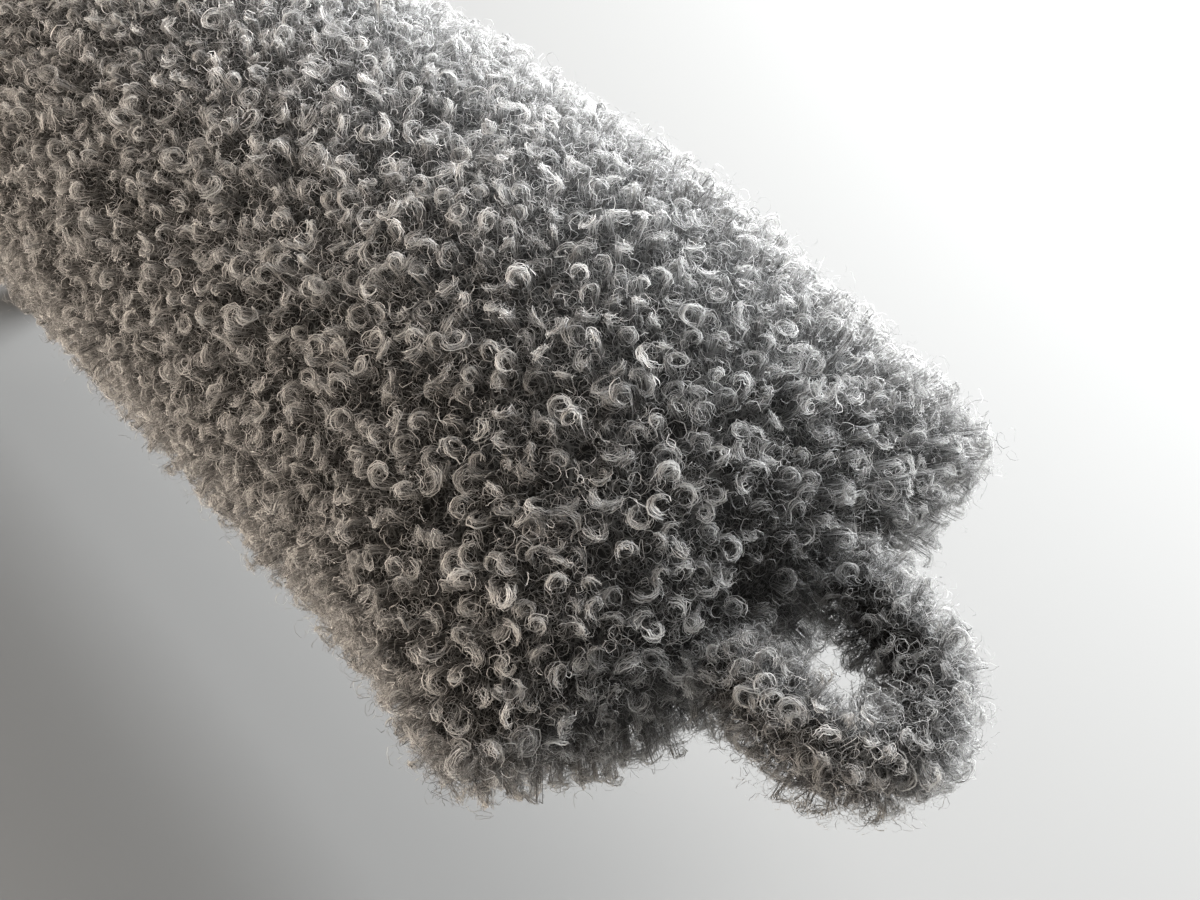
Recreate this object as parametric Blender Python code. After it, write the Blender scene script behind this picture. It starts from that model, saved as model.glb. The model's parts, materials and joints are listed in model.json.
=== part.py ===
"""Furry windscreen for a boom or stand microphone.

A tightly curled fur slip cover pulls over a round lattice cage. The cage pushes onto a rear base, which
holds a rail with two sprung microphone mounts and tilts in a fork on a threaded stand socket.

+X runs along the windscreen from the rear base to the pull loop, +Z is up, and the origin is the centre of
the stand socket's lower face. Every piece is its own object, and each moving group hangs on an empty that
lies on its joint's axis.
"""

import math

import bmesh
import bpy
from mathutils import Vector

GAP = 0.0003
ROUND = 36
ROUND_SMALL = 24
ROUND_SHANK = 16
CUT_PAST = 0.0100

# Heights
TILT_Z = 0.045
AXIS_Z = TILT_Z + 0.084

# Fur cover, stations along X
COVER_REAR_X = 0.0283
SEAM_X = 0.385
FUR_RADIUS = 0.070
EAR_HALF_WIDTH = 0.0833
EAR_CORNER = 0.0147
EAR_LENGTH = 0.087
EAR_FLARE = 1.65
EAR_PINCH = 0.45
SEAM_HALF_HEIGHT = 0.0112
SEAM_BULGE = 0.0061
NOSE_LENGTH = 0.090
CAVITY_RADIUS = 0.0503
CAVITY_TIP_X = 0.3655
HEM_REAR_X = 0.0233
HEM_RADIUS = 0.0580
LINING_RADIUS = 0.0500
LINING_WALL = 0.0008

# Pull loop, a furry tube bent into a U
LOOP_HALF_SPAN = 0.0180
LOOP_REACH = 0.0380
LOOP_SWELL = 0.18
LOOP_HALF_THICKNESS = 0.0100
LOOP_HALF_HEIGHT = 0.0140
LOOP_STATIONS = 20
LOOP_SIDES = 10
LOOP_DROOP = math.radians(13)

# Cage
CAGE_RADIUS = 0.0480
RIB_WALL = 0.0018
RIB_WIDTH = 0.0030
RIB_COUNT = 10
CAGE_COLLAR_X = (0.0213, 0.0410)
CAGE_COLLAR_BORE = 0.0450
CAGE_DOME_X = 0.308
CAGE_TIP_X = 0.3630
HOOP_COUNT = 5
HOOP_WIDTH = 0.0030
HOOP_RADII = (0.0437, 0.0459)
BOSS_RADIUS = 0.0140
BOSS_THICKNESS = 0.0040
BOSS_CROWN = 0.0012
FIRST_HOOP_X = 0.0590
LAST_HOOP_X = CAGE_DOME_X - 0.0020

# Rear base
BASE_RADIUS = 0.0480
BASE_CAVITY_RADIUS = 0.0395
BASE_X = (-0.0200, 0.0210)
BULKHEAD_X = (0.0080, 0.0125)
BULKHEAD_BORE = 0.0160
SPIGOT_RADII = (0.0392, 0.0430)
SPIGOT_FRONT_X = 0.0380
SEAL_X = (0.0280, 0.0316)
SEAL_RADIUS = 0.0448
SEAL_EDGE = 0.0007
GROOVE_RADIUS = SPIGOT_RADII[1] - 0.0014
BACK_COVER_X = (-0.0240, BASE_X[0] - GAP)
BACK_COVER_RADIUS = BASE_RADIUS - 0.0003
BACK_COVER_EDGE = 0.0012
BACK_SCREW_CIRCLE = 0.0437
BACK_SCREW_DEPTH = 0.0080
GROMMET_DROP = 0.0180
GROMMET_BORE = 0.0035
GROMMET_WAIST = 0.0060
GROMMET_FLANGE = 0.0090
PAD_HALF = 0.0160
PAD_BOTTOM = -0.0520

# Screws
SCREW_SHANK = 0.0015
SCREW_HEAD = 0.0028
SCREW_HEAD_HEIGHT = 0.0018
SCREW_PLAY = 0.0003
SCREW_ROOM = 0.0008

# Suspension, heights measured from the windscreen's axis
RAIL_HALF_HEAD = 0.0070
RAIL_HALF_STEM = 0.0035
RAIL_TOP = -0.0310
RAIL_HEAD_BOTTOM = -0.0340
RAIL_BOTTOM = -0.0385
RAIL_FRONT_X = 0.3000
RAIL_TAB_X = (BULKHEAD_X[1] + GAP, BULKHEAD_X[1] + GAP + 0.0035)
RAIL_TAB_HALF_WIDTH = 0.0090
RAIL_TAB_TOP = -0.0200
RAIL_SCREW_Z = -0.0255
RAIL_SCREW_Y = 0.0055
MOUNT_X = {"rear": 0.110, "front": 0.235}
CARRIAGE_LENGTH = 0.0180
CARRIAGE_TOP = -0.0277
CARRIAGE_WALL = 0.0027
CARRIAGE_LIP = 0.0020
LYRE_WIDTH = 0.0060
LYRE_THICKNESS = 0.0026
CLIP_RADII = (0.0102, 0.0122)
CLIP_WIDTH = 0.0090
CLIP_MOUTH = math.radians(70)
CLIP_STEPS = 24

# Tilt joint and stand socket
KNUCKLE_PLATE = 0.0040
KNUCKLE_SCREW_X = 0.0127
KNUCKLE_SCREW_DEPTH = 0.0060
LUG_HALF_WIDTH = 0.0070
LUG_RADIUS = 0.0090
FORK_HALF_DEPTH = 0.0100
FORK_OUTER = 0.0115
FORK_FLOOR_Z = 0.0325
BOLT_RADIUS = 0.0030
BOLT_PAST_NUT = 0.0015
NUT_RADIUS = 0.0058
NUT_THICKNESS = 0.0050
KNOB_Y = (FORK_OUTER + GAP, FORK_OUTER + GAP + 0.0120)
KNOB_RADIUS = 0.0125
KNOB_LOBE = 0.0020
KNOB_LOBES = 6
KNOB_END_WALL = 0.0035
SOCKET_RADIUS = 0.0140
SOCKET_TOP_Z = 0.0260
SOCKET_BORE = 0.0073
SOCKET_BORE_TOP_Z = 0.0220
INSERT_BORE = 0.0042
INSERT_TOP_Z = 0.0170
SOCKET_FLUTE = 0.0006
SOCKET_FLUTES = 24
FORK_SCREW_SHANK = 0.0020
FORK_SCREW_HEAD = 0.0036
FORK_SCREW_DEPTH = 0.0040

LOOKS = {
    "fur": ((0.36, 0.36, 0.35), 0.85, 0.0),
    "lining": ((0.03, 0.03, 0.03), 0.90, 0.0),
    "webbing": ((0.05, 0.05, 0.05), 0.80, 0.0),
    "cage_plastic": ((0.06, 0.06, 0.065), 0.45, 0.0),
    "base_plastic": ((0.045, 0.045, 0.05), 0.50, 0.0),
    "lyre_plastic": ((0.08, 0.08, 0.08), 0.40, 0.0),
    "rubber": ((0.02, 0.02, 0.02), 0.75, 0.0),
    "anodised": ((0.10, 0.10, 0.11), 0.35, 1.0),
    "steel": ((0.60, 0.60, 0.60), 0.30, 1.0),
    "brass": ((0.75, 0.60, 0.30), 0.30, 1.0),
}


def clear_scene():
    for obj in list(bpy.data.objects):
        bpy.data.objects.remove(obj)


def look(name):
    material = bpy.data.materials.get(name)
    if material:
        return material
    colour, roughness, metallic = LOOKS[name]
    material = bpy.data.materials.new(name)
    material.use_nodes = True
    shader = material.node_tree.nodes["Principled BSDF"]
    shader.inputs["Base Color"].default_value = (*colour, 1.0)
    shader.inputs["Roughness"].default_value = roughness
    shader.inputs["Metallic"].default_value = metallic
    return material


def group(name, at, parent=None):
    """An empty on a joint's axis, which carries the pieces that move together."""
    empty = bpy.data.objects.new(name, None)
    bpy.context.collection.objects.link(empty)
    hang(empty, at, parent)
    return empty


def hang(obj, at, parent):
    """Places an object at a point of the whole assembly, under a parent that isn't turned."""
    obj.parent = parent
    offset = Vector((0, 0, 0))
    while parent:
        offset += parent.location
        parent = parent.parent
    obj.location = Vector(at) - offset


def solid(name, points, faces, finish, at=(0, 0, 0), parent=None, bevel=0.0):
    mesh = bpy.data.meshes.new(name)
    mesh.from_pydata([tuple(p) for p in points], [], faces)
    bm = bmesh.new()
    bm.from_mesh(mesh)
    bmesh.ops.recalc_face_normals(bm, faces=bm.faces)
    bm.to_mesh(mesh)
    bm.free()
    mesh.shade_smooth()
    mesh.set_sharp_from_angle(angle=math.radians(35))
    obj = bpy.data.objects.new(name, mesh)
    bpy.context.collection.objects.link(obj)
    mesh.materials.append(look(finish))
    hang(obj, at, parent)
    if bevel:
        edge = obj.modifiers.new("Bevel", "BEVEL")
        edge.width = bevel
        edge.segments = 2
        edge.limit_method = "ANGLE"
        edge.angle_limit = math.radians(50)
    return obj


def skin(rings, around=False):
    """Points and faces over a row of equal rings: closed round on itself, or capped at both ends."""
    count = len(rings[0])
    points = [p for ring in rings for p in ring]
    faces = []
    spans = len(rings) if around else len(rings) - 1
    for i in range(spans):
        here, there = i * count, (i + 1) % len(rings) * count
        for j in range(count):
            k = (j + 1) % count
            faces.append((here + j, here + k, there + k, there + j))
    if not around:
        faces.append(tuple(reversed(range(count))))
        faces.append(tuple(range(len(points) - count, len(points))))
    return points, faces


def along(axis, u, v, h):
    """A point from two coordinates across an axis and one along it."""
    return {"X": (h, u, v), "Y": (u, h, v), "Z": (u, v, h)}[axis]


def prism(outline, axis, low, high):
    """An outline pulled along an axis."""
    return skin([[along(axis, u, v, h) for u, v in outline] for h in (low, high)])


def turned(profile, axis, segments):
    """(radius, height) points turned round an axis: closed on itself, or starting and ending on the axis."""
    turns = [2 * math.pi * i / segments for i in range(segments)]
    points = []
    rows = []
    for radius, height in profile:
        start = len(points)
        if radius == 0:
            rows.append([start] * segments)
            points.append(along(axis, 0.0, 0.0, height))
            continue
        rows.append(list(range(start, start + segments)))
        points += [along(axis, radius * math.cos(t), radius * math.sin(t), height) for t in turns]
    pairs = list(zip(rows, rows[1:]))
    if profile[0][0] > 0:
        pairs.append((rows[-1], rows[0]))
    faces = []
    for lower, upper in pairs:
        for j in range(segments):
            k = (j + 1) % segments
            corners = (lower[j], lower[k], upper[k], upper[j])
            faces.append(tuple(dict.fromkeys(corners)))
    return points, faces


def flat_ended(profile, axis, segments):
    """A turned solid whose two ends are flat discs: the profile leaves out the axis itself."""
    turns = [2 * math.pi * i / segments for i in range(segments)]
    circle = [(math.cos(t), math.sin(t)) for t in turns]
    return skin([[along(axis, r * u, r * v, h) for u, v in circle] for r, h in profile])


def block(low, high):
    """A box between two corners."""
    (x0, y0, z0), (x1, y1, z1) = low, high
    return prism([(x0, y0), (x1, y0), (x1, y1), (x0, y1)], "Z", z0, z1)


def arc(centre, radius, start, end, steps):
    turns = [start + (end - start) * i / steps for i in range(steps + 1)]
    return [(centre[0] + radius * math.cos(t), centre[1] + radius * math.sin(t)) for t in turns]


def rod(radius, low, high, axis, segments=ROUND_SHANK):
    return flat_ended([(radius, low), (radius, high)], axis, segments)


def cutter(name, shape, at=(0, 0, 0), parent=None):
    obj = solid(name, *shape, "steel", at, parent)
    obj.hide_render = True
    obj.display_type = "WIRE"
    return obj


def boolean(obj, tool, operation="DIFFERENCE"):
    step = obj.modifiers.new(tool.name, "BOOLEAN")
    step.operation = operation
    step.solver = "EXACT"
    step.object = tool


def screw(name, axis, seat, tip, at, parent=None, shank=SCREW_SHANK, head=SCREW_HEAD):
    """A pan-headed screw: its head rests on the seat, and its shank runs from there to the tip."""
    up = math.copysign(SCREW_HEAD_HEIGHT, seat - tip)
    profile = [(head * 0.75, seat + up), (head, seat + up * 0.5), (head, seat), (shank, seat), (shank, tip)]
    solid(name, *flat_ended(profile, axis, ROUND_SHANK), "steel", at, parent)


def screw_hole(name, axis, low, high, at, parent=None, shank=SCREW_SHANK):
    return cutter(name, rod(shank + SCREW_PLAY, low, high, axis), at, parent)


def smooth_step(x):
    x = min(max(x, 0.0), 1.0)
    return x * x * (3 - 2 * x)


# ---------------------------------------------------------------- fur cover


def cover_half_width(back):
    """Half width of the fur at a distance back from the end seam: a tube that flares into two ears."""
    flare = (EAR_HALF_WIDTH - FUR_RADIUS) * max(0.0, 1 - back / EAR_LENGTH) ** EAR_FLARE
    dip = 0.0
    if back < EAR_CORNER:
        dip = EAR_CORNER - math.sqrt(EAR_CORNER**2 - (EAR_CORNER - back) ** 2)
    return FUR_RADIUS + flare - dip


def cover_half_height(back):
    rise = math.sqrt(1 - (1 - min(back / NOSE_LENGTH, 1.0)) ** 2)
    return SEAM_HALF_HEIGHT + (FUR_RADIUS - SEAM_HALF_HEIGHT) * rise


def cover_ring(back, side, steps=20):
    """Half of the cover's outline, side being 1 for the upper panel and -1 for the lower."""
    width, height = cover_half_width(back), cover_half_height(back)
    pinch = 1 + EAR_PINCH * (1 - smooth_step(back / EAR_LENGTH))
    ring = []
    for i in range(steps + 1):
        turn = math.pi * i / steps
        y = width * math.cos(turn)
        z = height * max(math.sin(turn), 0.0) ** pinch + GAP / 2
        bulge = SEAM_BULGE * (1 - (y / EAR_HALF_WIDTH) ** 2) * (1 - smooth_step(back / EAR_LENGTH))
        ring.append((SEAM_X - back + bulge, y, side * z))
    return ring


def cover_stations():
    """Distances back from the end seam, close together where the ears and the nose curve."""
    front = [EAR_LENGTH * (i / 9) ** 1.7 for i in range(10)]
    length = SEAM_X - COVER_REAR_X
    rest = [EAR_LENGTH + (length - EAR_LENGTH) * i / 3 for i in range(1, 4)]
    return front + rest


def dome(radius, start_x, tip_x, steps=6):
    """Profile points (radius, x) of a half-oval nose, from its rim to its tip on the axis."""
    turns = [math.pi / 2 * i / steps for i in range(steps)]
    curve = [(radius * math.cos(t), start_x + (tip_x - start_x) * math.sin(t)) for t in turns]
    return curve + [(0, tip_x)]


def fur_panels(parent, axis_point):
    behind = COVER_REAR_X - CUT_PAST
    cavity_shape = [(0, behind), (CAVITY_RADIUS, behind)] + dome(CAVITY_RADIUS, CAGE_DOME_X, CAVITY_TIP_X)
    cavity = cutter("cover_cavity", turned(cavity_shape, "X", ROUND), axis_point, parent)
    for name, side in (("fur_upper_panel", 1), ("fur_lower_panel", -1)):
        rings = [cover_ring(back, side) for back in cover_stations()]
        boolean(solid(name, *skin(rings), "fur", axis_point, parent), cavity)


def cover_lining(parent, axis_point):
    outer = dome(LINING_RADIUS, CAGE_DOME_X, CAVITY_TIP_X - GAP)
    inner = dome(LINING_RADIUS - LINING_WALL, CAGE_DOME_X, CAVITY_TIP_X - GAP - LINING_WALL)
    profile = [(0, outer[-1][1])] + outer[-2::-1] + [(LINING_RADIUS, COVER_REAR_X)]
    profile += [(LINING_RADIUS - LINING_WALL, COVER_REAR_X)] + inner
    solid("cover_lining", *turned(profile, "X", ROUND), "lining", axis_point, parent)


def hem_binding(parent, axis_point):
    front = COVER_REAR_X - GAP
    middle = (HEM_REAR_X + front) / 2
    half = (front - HEM_REAR_X) / 2
    profile = [(CAVITY_RADIUS, front), (HEM_RADIUS - half, front)]
    for t in (0.8, 0.0, -0.8):
        profile.append((HEM_RADIUS - half + half * math.cos(t), middle + half * math.sin(t)))
    profile += [(HEM_RADIUS - half, HEM_REAR_X), (CAVITY_RADIUS, HEM_REAR_X)]
    solid("hem_binding", *turned(profile, "X", ROUND), "webbing", axis_point, parent)


def loop_axis_x():
    """The loop swings about its rounded root, which rests on the middle of the end seam."""
    return SEAM_X + SEAM_BULGE + GAP + LOOP_HALF_HEIGHT


def pull_loop(parent, hinge_point):
    """A tube bent into a U, its two rounded roots on the swing axis and its far end reaching forward."""
    centres = []
    for i in range(LOOP_STATIONS + 1):
        turn = -math.pi / 2 + math.pi * i / LOOP_STATIONS
        x = LOOP_REACH * max(math.cos(turn), 0.0) ** 0.75 - LOOP_HALF_HEIGHT
        y = LOOP_HALF_SPAN * math.sin(turn) * (1 + LOOP_SWELL * math.cos(turn) ** 2)
        centres.append(Vector((x, y, 0)))
    length = 0.0
    reached = [0.0]
    for before, after in zip(centres, centres[1:]):
        length += (after - before).length
        reached.append(length)
    rings = []
    for i, centre in enumerate(centres):
        ahead = centres[min(i + 1, LOOP_STATIONS)] - centres[max(i - 1, 0)]
        ahead.normalize()
        sideways = Vector((ahead.y, -ahead.x, 0))
        from_end = min(reached[i], length - reached[i])
        root = max(LOOP_HALF_HEIGHT - from_end, 0.0)
        height = math.sqrt(LOOP_HALF_HEIGHT**2 - min(root, LOOP_HALF_HEIGHT * 0.97) ** 2)
        ring = []
        for j in range(LOOP_SIDES):
            turn = 2 * math.pi * j / LOOP_SIDES
            p = centre + sideways * (LOOP_HALF_THICKNESS * math.cos(turn))
            p.z = height * math.sin(turn)
            ring.append((
                p.x * math.cos(LOOP_DROOP) + p.z * math.sin(LOOP_DROOP),
                p.y,
                -p.x * math.sin(LOOP_DROOP) + p.z * math.cos(LOOP_DROOP),
            ))
        rings.append(ring)
    solid("pull_loop", *skin(rings), "fur", hinge_point, parent)


# ---------------------------------------------------------------- cage


def cage_collar(parent, axis_point):
    low, high = CAGE_COLLAR_X
    profile = [(CAGE_COLLAR_BORE, low), (CAGE_RADIUS, low), (CAGE_RADIUS, high), (CAGE_COLLAR_BORE, high)]
    solid("cage_collar", *turned(profile, "X", ROUND), "cage_plastic", axis_point, parent)


def rib_path():
    """The rib's outer line in (x, radius): straight along the cage, then round the nose to the boss."""
    start = CAGE_COLLAR_X[1] + GAP
    straight = [(start, CAGE_RADIUS), (CAGE_DOME_X, CAGE_RADIUS)]
    boss_turn = math.acos((BOSS_RADIUS + GAP) / CAGE_RADIUS)
    turns = [boss_turn * i / 6 for i in range(1, 7)]
    reach = CAGE_TIP_X - CAGE_DOME_X
    return straight + [(CAGE_DOME_X + reach * math.sin(t), CAGE_RADIUS * math.cos(t)) for t in turns]


def cage_ribs(parent, axis_point):
    path = rib_path()
    for number in range(RIB_COUNT):
        turn = 2 * math.pi * (number + 0.5) / RIB_COUNT
        outward = Vector((0, math.cos(turn), math.sin(turn)))
        across = Vector((0, -math.sin(turn), math.cos(turn))) * (RIB_WIDTH / 2)
        rings = []
        for i, (x, radius) in enumerate(path):
            before, after = path[max(i - 1, 0)], path[min(i + 1, len(path) - 1)]
            slope = Vector((after[0] - before[0], after[1] - before[1])).normalized()
            if i == len(path) - 1:
                slope = Vector((0, -1))
            outer = Vector((x, 0, 0)) + outward * radius
            inner = outer + (Vector((slope.y, 0, 0)) - outward * slope.x) * RIB_WALL
            rings.append([outer - across, outer + across, inner + across, inner - across])
        solid(f"cage_rib_{number + 1}", *skin(rings), "cage_plastic", axis_point, parent)


def cage_hoops(parent, axis_point):
    inner, outer = HOOP_RADII
    for number in range(HOOP_COUNT):
        middle = FIRST_HOOP_X + (LAST_HOOP_X - FIRST_HOOP_X) * number / (HOOP_COUNT - 1)
        low = middle - HOOP_WIDTH / 2
        high = low + HOOP_WIDTH
        profile = [(inner, low), (outer, low), (outer, high), (inner, high)]
        solid(f"cage_hoop_{number + 1}", *turned(profile, "X", ROUND), "cage_plastic", axis_point, parent)


def cage_nose_boss(parent, axis_point):
    end = rib_path()[-1][0]
    profile = [(BOSS_RADIUS, end - BOSS_THICKNESS), (BOSS_RADIUS, end)]
    profile += [(BOSS_RADIUS * 0.7, end + BOSS_CROWN)]
    solid("cage_nose_boss", *flat_ended(profile, "X", ROUND_SMALL), "cage_plastic", axis_point, parent)


# ---------------------------------------------------------------- rear base


def base_ring(parent, axis_point):
    """A short tube with a bulkhead inside, a grooved spigot in front and a flat pad below."""
    rear, front = BASE_X
    spigot_inner, spigot_outer = SPIGOT_RADII
    profile = [(BASE_CAVITY_RADIUS, rear), (BASE_RADIUS, rear), (BASE_RADIUS, front), (spigot_outer, front)]
    profile += [(spigot_outer, SEAL_X[0]), (GROOVE_RADIUS, SEAL_X[0])]
    profile += [(GROOVE_RADIUS, SEAL_X[1]), (spigot_outer, SEAL_X[1])]
    profile += [(spigot_outer, SPIGOT_FRONT_X), (spigot_inner, SPIGOT_FRONT_X)]
    profile += [(spigot_inner, BULKHEAD_X[1]), (BULKHEAD_BORE, BULKHEAD_X[1])]
    profile += [(BULKHEAD_BORE, BULKHEAD_X[0]), (BASE_CAVITY_RADIUS, BULKHEAD_X[0])]
    ring = solid("base_ring", *turned(profile, "X", ROUND), "base_plastic", axis_point, parent)
    pad_top = -(BASE_CAVITY_RADIUS + BASE_RADIUS) / 2
    pad_shape = block((-PAD_HALF, -PAD_HALF, PAD_BOTTOM), (PAD_HALF, PAD_HALF, pad_top))
    pad = cutter("base_pad", pad_shape, axis_point, parent)
    boolean(ring, pad, "UNION")
    return ring


def back_cover(parent, axis_point, ring):
    """A screwed-on disc with the cable's outlet low down."""
    low, high = BACK_COVER_X
    rim = BACK_COVER_RADIUS
    profile = [(rim - BACK_COVER_EDGE, low), (rim, low + BACK_COVER_EDGE), (rim, high)]
    cover = solid("back_cover", *flat_ended(profile, "X", ROUND), "base_plastic", axis_point, parent)
    outlet_shape = rod(GROMMET_WAIST + GAP, low - CUT_PAST, high + CUT_PAST, "X", ROUND_SMALL)
    boolean(cover, cutter("outlet_hole", outlet_shape, grommet_point(axis_point), parent))
    tip = BASE_X[0] + BACK_SCREW_DEPTH
    for number in range(4):
        turn = math.pi / 4 + number * math.pi / 2
        at = Vector(axis_point) + Vector((0, math.cos(turn), math.sin(turn))) * BACK_SCREW_CIRCLE
        hole = screw_hole(f"back_hole_{number + 1}", "X", low - CUT_PAST, tip + SCREW_ROOM, at, parent)
        boolean(cover, hole)
        boolean(ring, hole)
        screw(f"back_cover_screw_{number + 1}", "X", low - GAP, tip, at, parent)


def grommet_point(axis_point):
    return Vector(axis_point) - Vector((0, 0, GROMMET_DROP))


def cable_grommet(parent, axis_point):
    """A rubber bush in the outlet: a tapered flange outside, a waist in the hole and a lip inside."""
    low, high = BACK_COVER_X[0] - GAP, BACK_COVER_X[1] + GAP
    rear, lip_front = low - 0.0057, high + 0.0019
    lip = GROMMET_FLANGE - 0.0005
    profile = [(GROMMET_BORE, rear), (GROMMET_WAIST, rear), (lip, low - 0.0027), (GROMMET_FLANGE, low)]
    profile += [(GROMMET_WAIST, low), (GROMMET_WAIST, high), (lip, high), (lip, lip_front)]
    profile += [(GROMMET_BORE, lip_front)]
    at = grommet_point(axis_point)
    solid("cable_grommet", *turned(profile, "X", ROUND_SMALL), "rubber", at, parent)


def cage_seal_ring(parent, axis_point):
    low, high = SEAL_X[0] + GAP, SEAL_X[1] - GAP
    inner = GROOVE_RADIUS + GAP
    shoulder = SEAL_RADIUS - SEAL_EDGE
    profile = [(inner, low), (shoulder, low), (SEAL_RADIUS, low + SEAL_EDGE)]
    profile += [(SEAL_RADIUS, high - SEAL_EDGE), (shoulder, high), (inner, high)]
    solid("cage_seal_ring", *turned(profile, "X", ROUND), "rubber", axis_point, parent)


# ---------------------------------------------------------------- suspension


def suspension_rail(parent, axis_point, ring):
    """A T-section bar with an upright tab at its rear end, which two screws hold to the bulkhead."""
    stem, head = RAIL_HALF_STEM, RAIL_HALF_HEAD
    outline = [(-stem, RAIL_BOTTOM), (stem, RAIL_BOTTOM), (stem, RAIL_HEAD_BOTTOM), (head, RAIL_HEAD_BOTTOM)]
    outline += [(head, RAIL_TOP), (-head, RAIL_TOP), (-head, RAIL_HEAD_BOTTOM), (-stem, RAIL_HEAD_BOTTOM)]
    bar = prism(outline, "X", RAIL_TAB_X[0], RAIL_FRONT_X)
    rail = solid("suspension_rail", *bar, "anodised", axis_point, parent)
    half = RAIL_TAB_HALF_WIDTH
    tab_shape = block((RAIL_TAB_X[0], -half, RAIL_TOP - 0.002), (RAIL_TAB_X[1], half, RAIL_TAB_TOP))
    boolean(rail, cutter("rail_tab", tab_shape, axis_point, parent), "UNION")
    seat, tip = RAIL_TAB_X[1] + GAP, BULKHEAD_X[0] + 0.0012
    for number, side in enumerate((-1, 1)):
        at = Vector(axis_point) + Vector((0, side * RAIL_SCREW_Y, RAIL_SCREW_Z))
        hole = screw_hole(f"rail_hole_{number + 1}", "X", tip - SCREW_PLAY, seat + CUT_PAST, at, parent)
        boolean(rail, hole)
        boolean(ring, hole)
        screw(f"rail_screw_{number + 1}", "X", seat, tip, at, parent)


def mount_carriage(place, parent, at):
    """A foot that slides along the rail, wrapped round its T-shaped head."""
    inner, lip = RAIL_HALF_HEAD + GAP, RAIL_HALF_STEM + GAP
    outer = inner + CARRIAGE_WALL
    floor, roof = RAIL_HEAD_BOTTOM - GAP, RAIL_TOP + GAP
    bottom = floor - CARRIAGE_LIP
    half = [(lip, bottom), (outer, bottom), (outer, CARRIAGE_TOP - 0.0012), (outer - 0.0020, CARRIAGE_TOP)]
    inside = [(inner, roof), (inner, floor), (lip, floor)]
    outline = half + [(-y, z) for y, z in reversed(half)]
    outline += [(-y, z) for y, z in reversed(inside)] + inside
    shape = prism(outline, "X", -CARRIAGE_LENGTH / 2, CARRIAGE_LENGTH / 2)
    solid(f"{place}_mount_carriage", *shape, "lyre_plastic", at, parent)


def lyre_line():
    """Right half of the lyre's centre line: out from the carriage, up, over and back down to the clip."""
    low = CARRIAGE_TOP + GAP + LYRE_THICKNESS / 2
    foot = [(0.0, low), (0.009, low)]
    sweep = arc((0.0100, low + 0.0150), 0.0150, -math.pi / 2 + 0.2, -0.1, 6)
    top = arc((0.0190, 0.0042), 0.0050, 0.0, math.pi * 0.97, 6)
    end_x = CLIP_RADII[1] + GAP + LYRE_THICKNESS / 2
    return foot + sweep + top + [(end_x, -0.0030)]


def lyre(place, parent, at):
    half = lyre_line()
    line = [Vector((-y, z)) for y, z in reversed(half[1:])] + [Vector(p) for p in half]
    left, right = [], []
    for i, p in enumerate(line):
        ahead = (line[min(i + 1, len(line) - 1)] - line[max(i - 1, 0)]).normalized()
        side = Vector((-ahead.y, ahead.x)) * (LYRE_THICKNESS / 2)
        left.append(tuple(p + side))
        right.append(tuple(p - side))
    shape = prism(left + right[::-1], "X", -LYRE_WIDTH / 2, LYRE_WIDTH / 2)
    solid(f"{place}_lyre", *shape, "lyre_plastic", at, parent)


def mic_clip(place, parent, at):
    inner, outer = CLIP_RADII
    start, end = math.pi / 2 + CLIP_MOUTH / 2, 2.5 * math.pi - CLIP_MOUTH / 2
    outline = arc((0, 0), outer, start, end, CLIP_STEPS) + arc((0, 0), inner, end, start, CLIP_STEPS)
    shape = prism(outline, "X", -CLIP_WIDTH / 2, CLIP_WIDTH / 2)
    solid(f"{place}_mic_clip", *shape, "rubber", at, parent)


# ---------------------------------------------------------------- tilt joint and stand socket


def bolt_hole(name, pivot_point, parent):
    return cutter(name, rod(BOLT_RADIUS + GAP, -0.03, 0.03, "Y", ROUND_SMALL), pivot_point, parent)


def tilt_knuckle(parent, axis_point, pivot_point, ring):
    """A plate screwed under the base, with a lug that the fork's bolt goes through."""
    top = PAD_BOTTOM - GAP
    bottom = top - KNUCKLE_PLATE
    plate_shape = block((-PAD_HALF, -PAD_HALF, bottom), (PAD_HALF, PAD_HALF, top))
    knuckle = solid("tilt_knuckle", *plate_shape, "anodised", axis_point, parent, bevel=0.0008)
    drop = axis_point[2] - pivot_point[2]
    rim = arc((0, -drop), LUG_RADIUS, -math.pi, 0, 14)
    outline = rim + [(LUG_RADIUS, top - KNUCKLE_PLATE / 2), (-LUG_RADIUS, top - KNUCKLE_PLATE / 2)]
    lug = cutter("knuckle_lug", prism(outline, "Y", -LUG_HALF_WIDTH, LUG_HALF_WIDTH), axis_point, parent)
    boolean(knuckle, lug, "UNION")
    boolean(knuckle, bolt_hole("knuckle_bore", pivot_point, parent))
    tip = top + KNUCKLE_SCREW_DEPTH
    hole_end = tip + SCREW_ROOM
    for number, side in enumerate((-1, 1)):
        at = Vector(axis_point) + Vector((side * KNUCKLE_SCREW_X, 0, 0))
        hole = screw_hole(f"knuckle_hole_{number + 1}", "Z", bottom - CUT_PAST, hole_end, at, parent)
        boolean(knuckle, hole)
        boolean(ring, hole)
        screw(f"knuckle_screw_{number + 1}", "Z", bottom - GAP, tip, at, parent)


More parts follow.
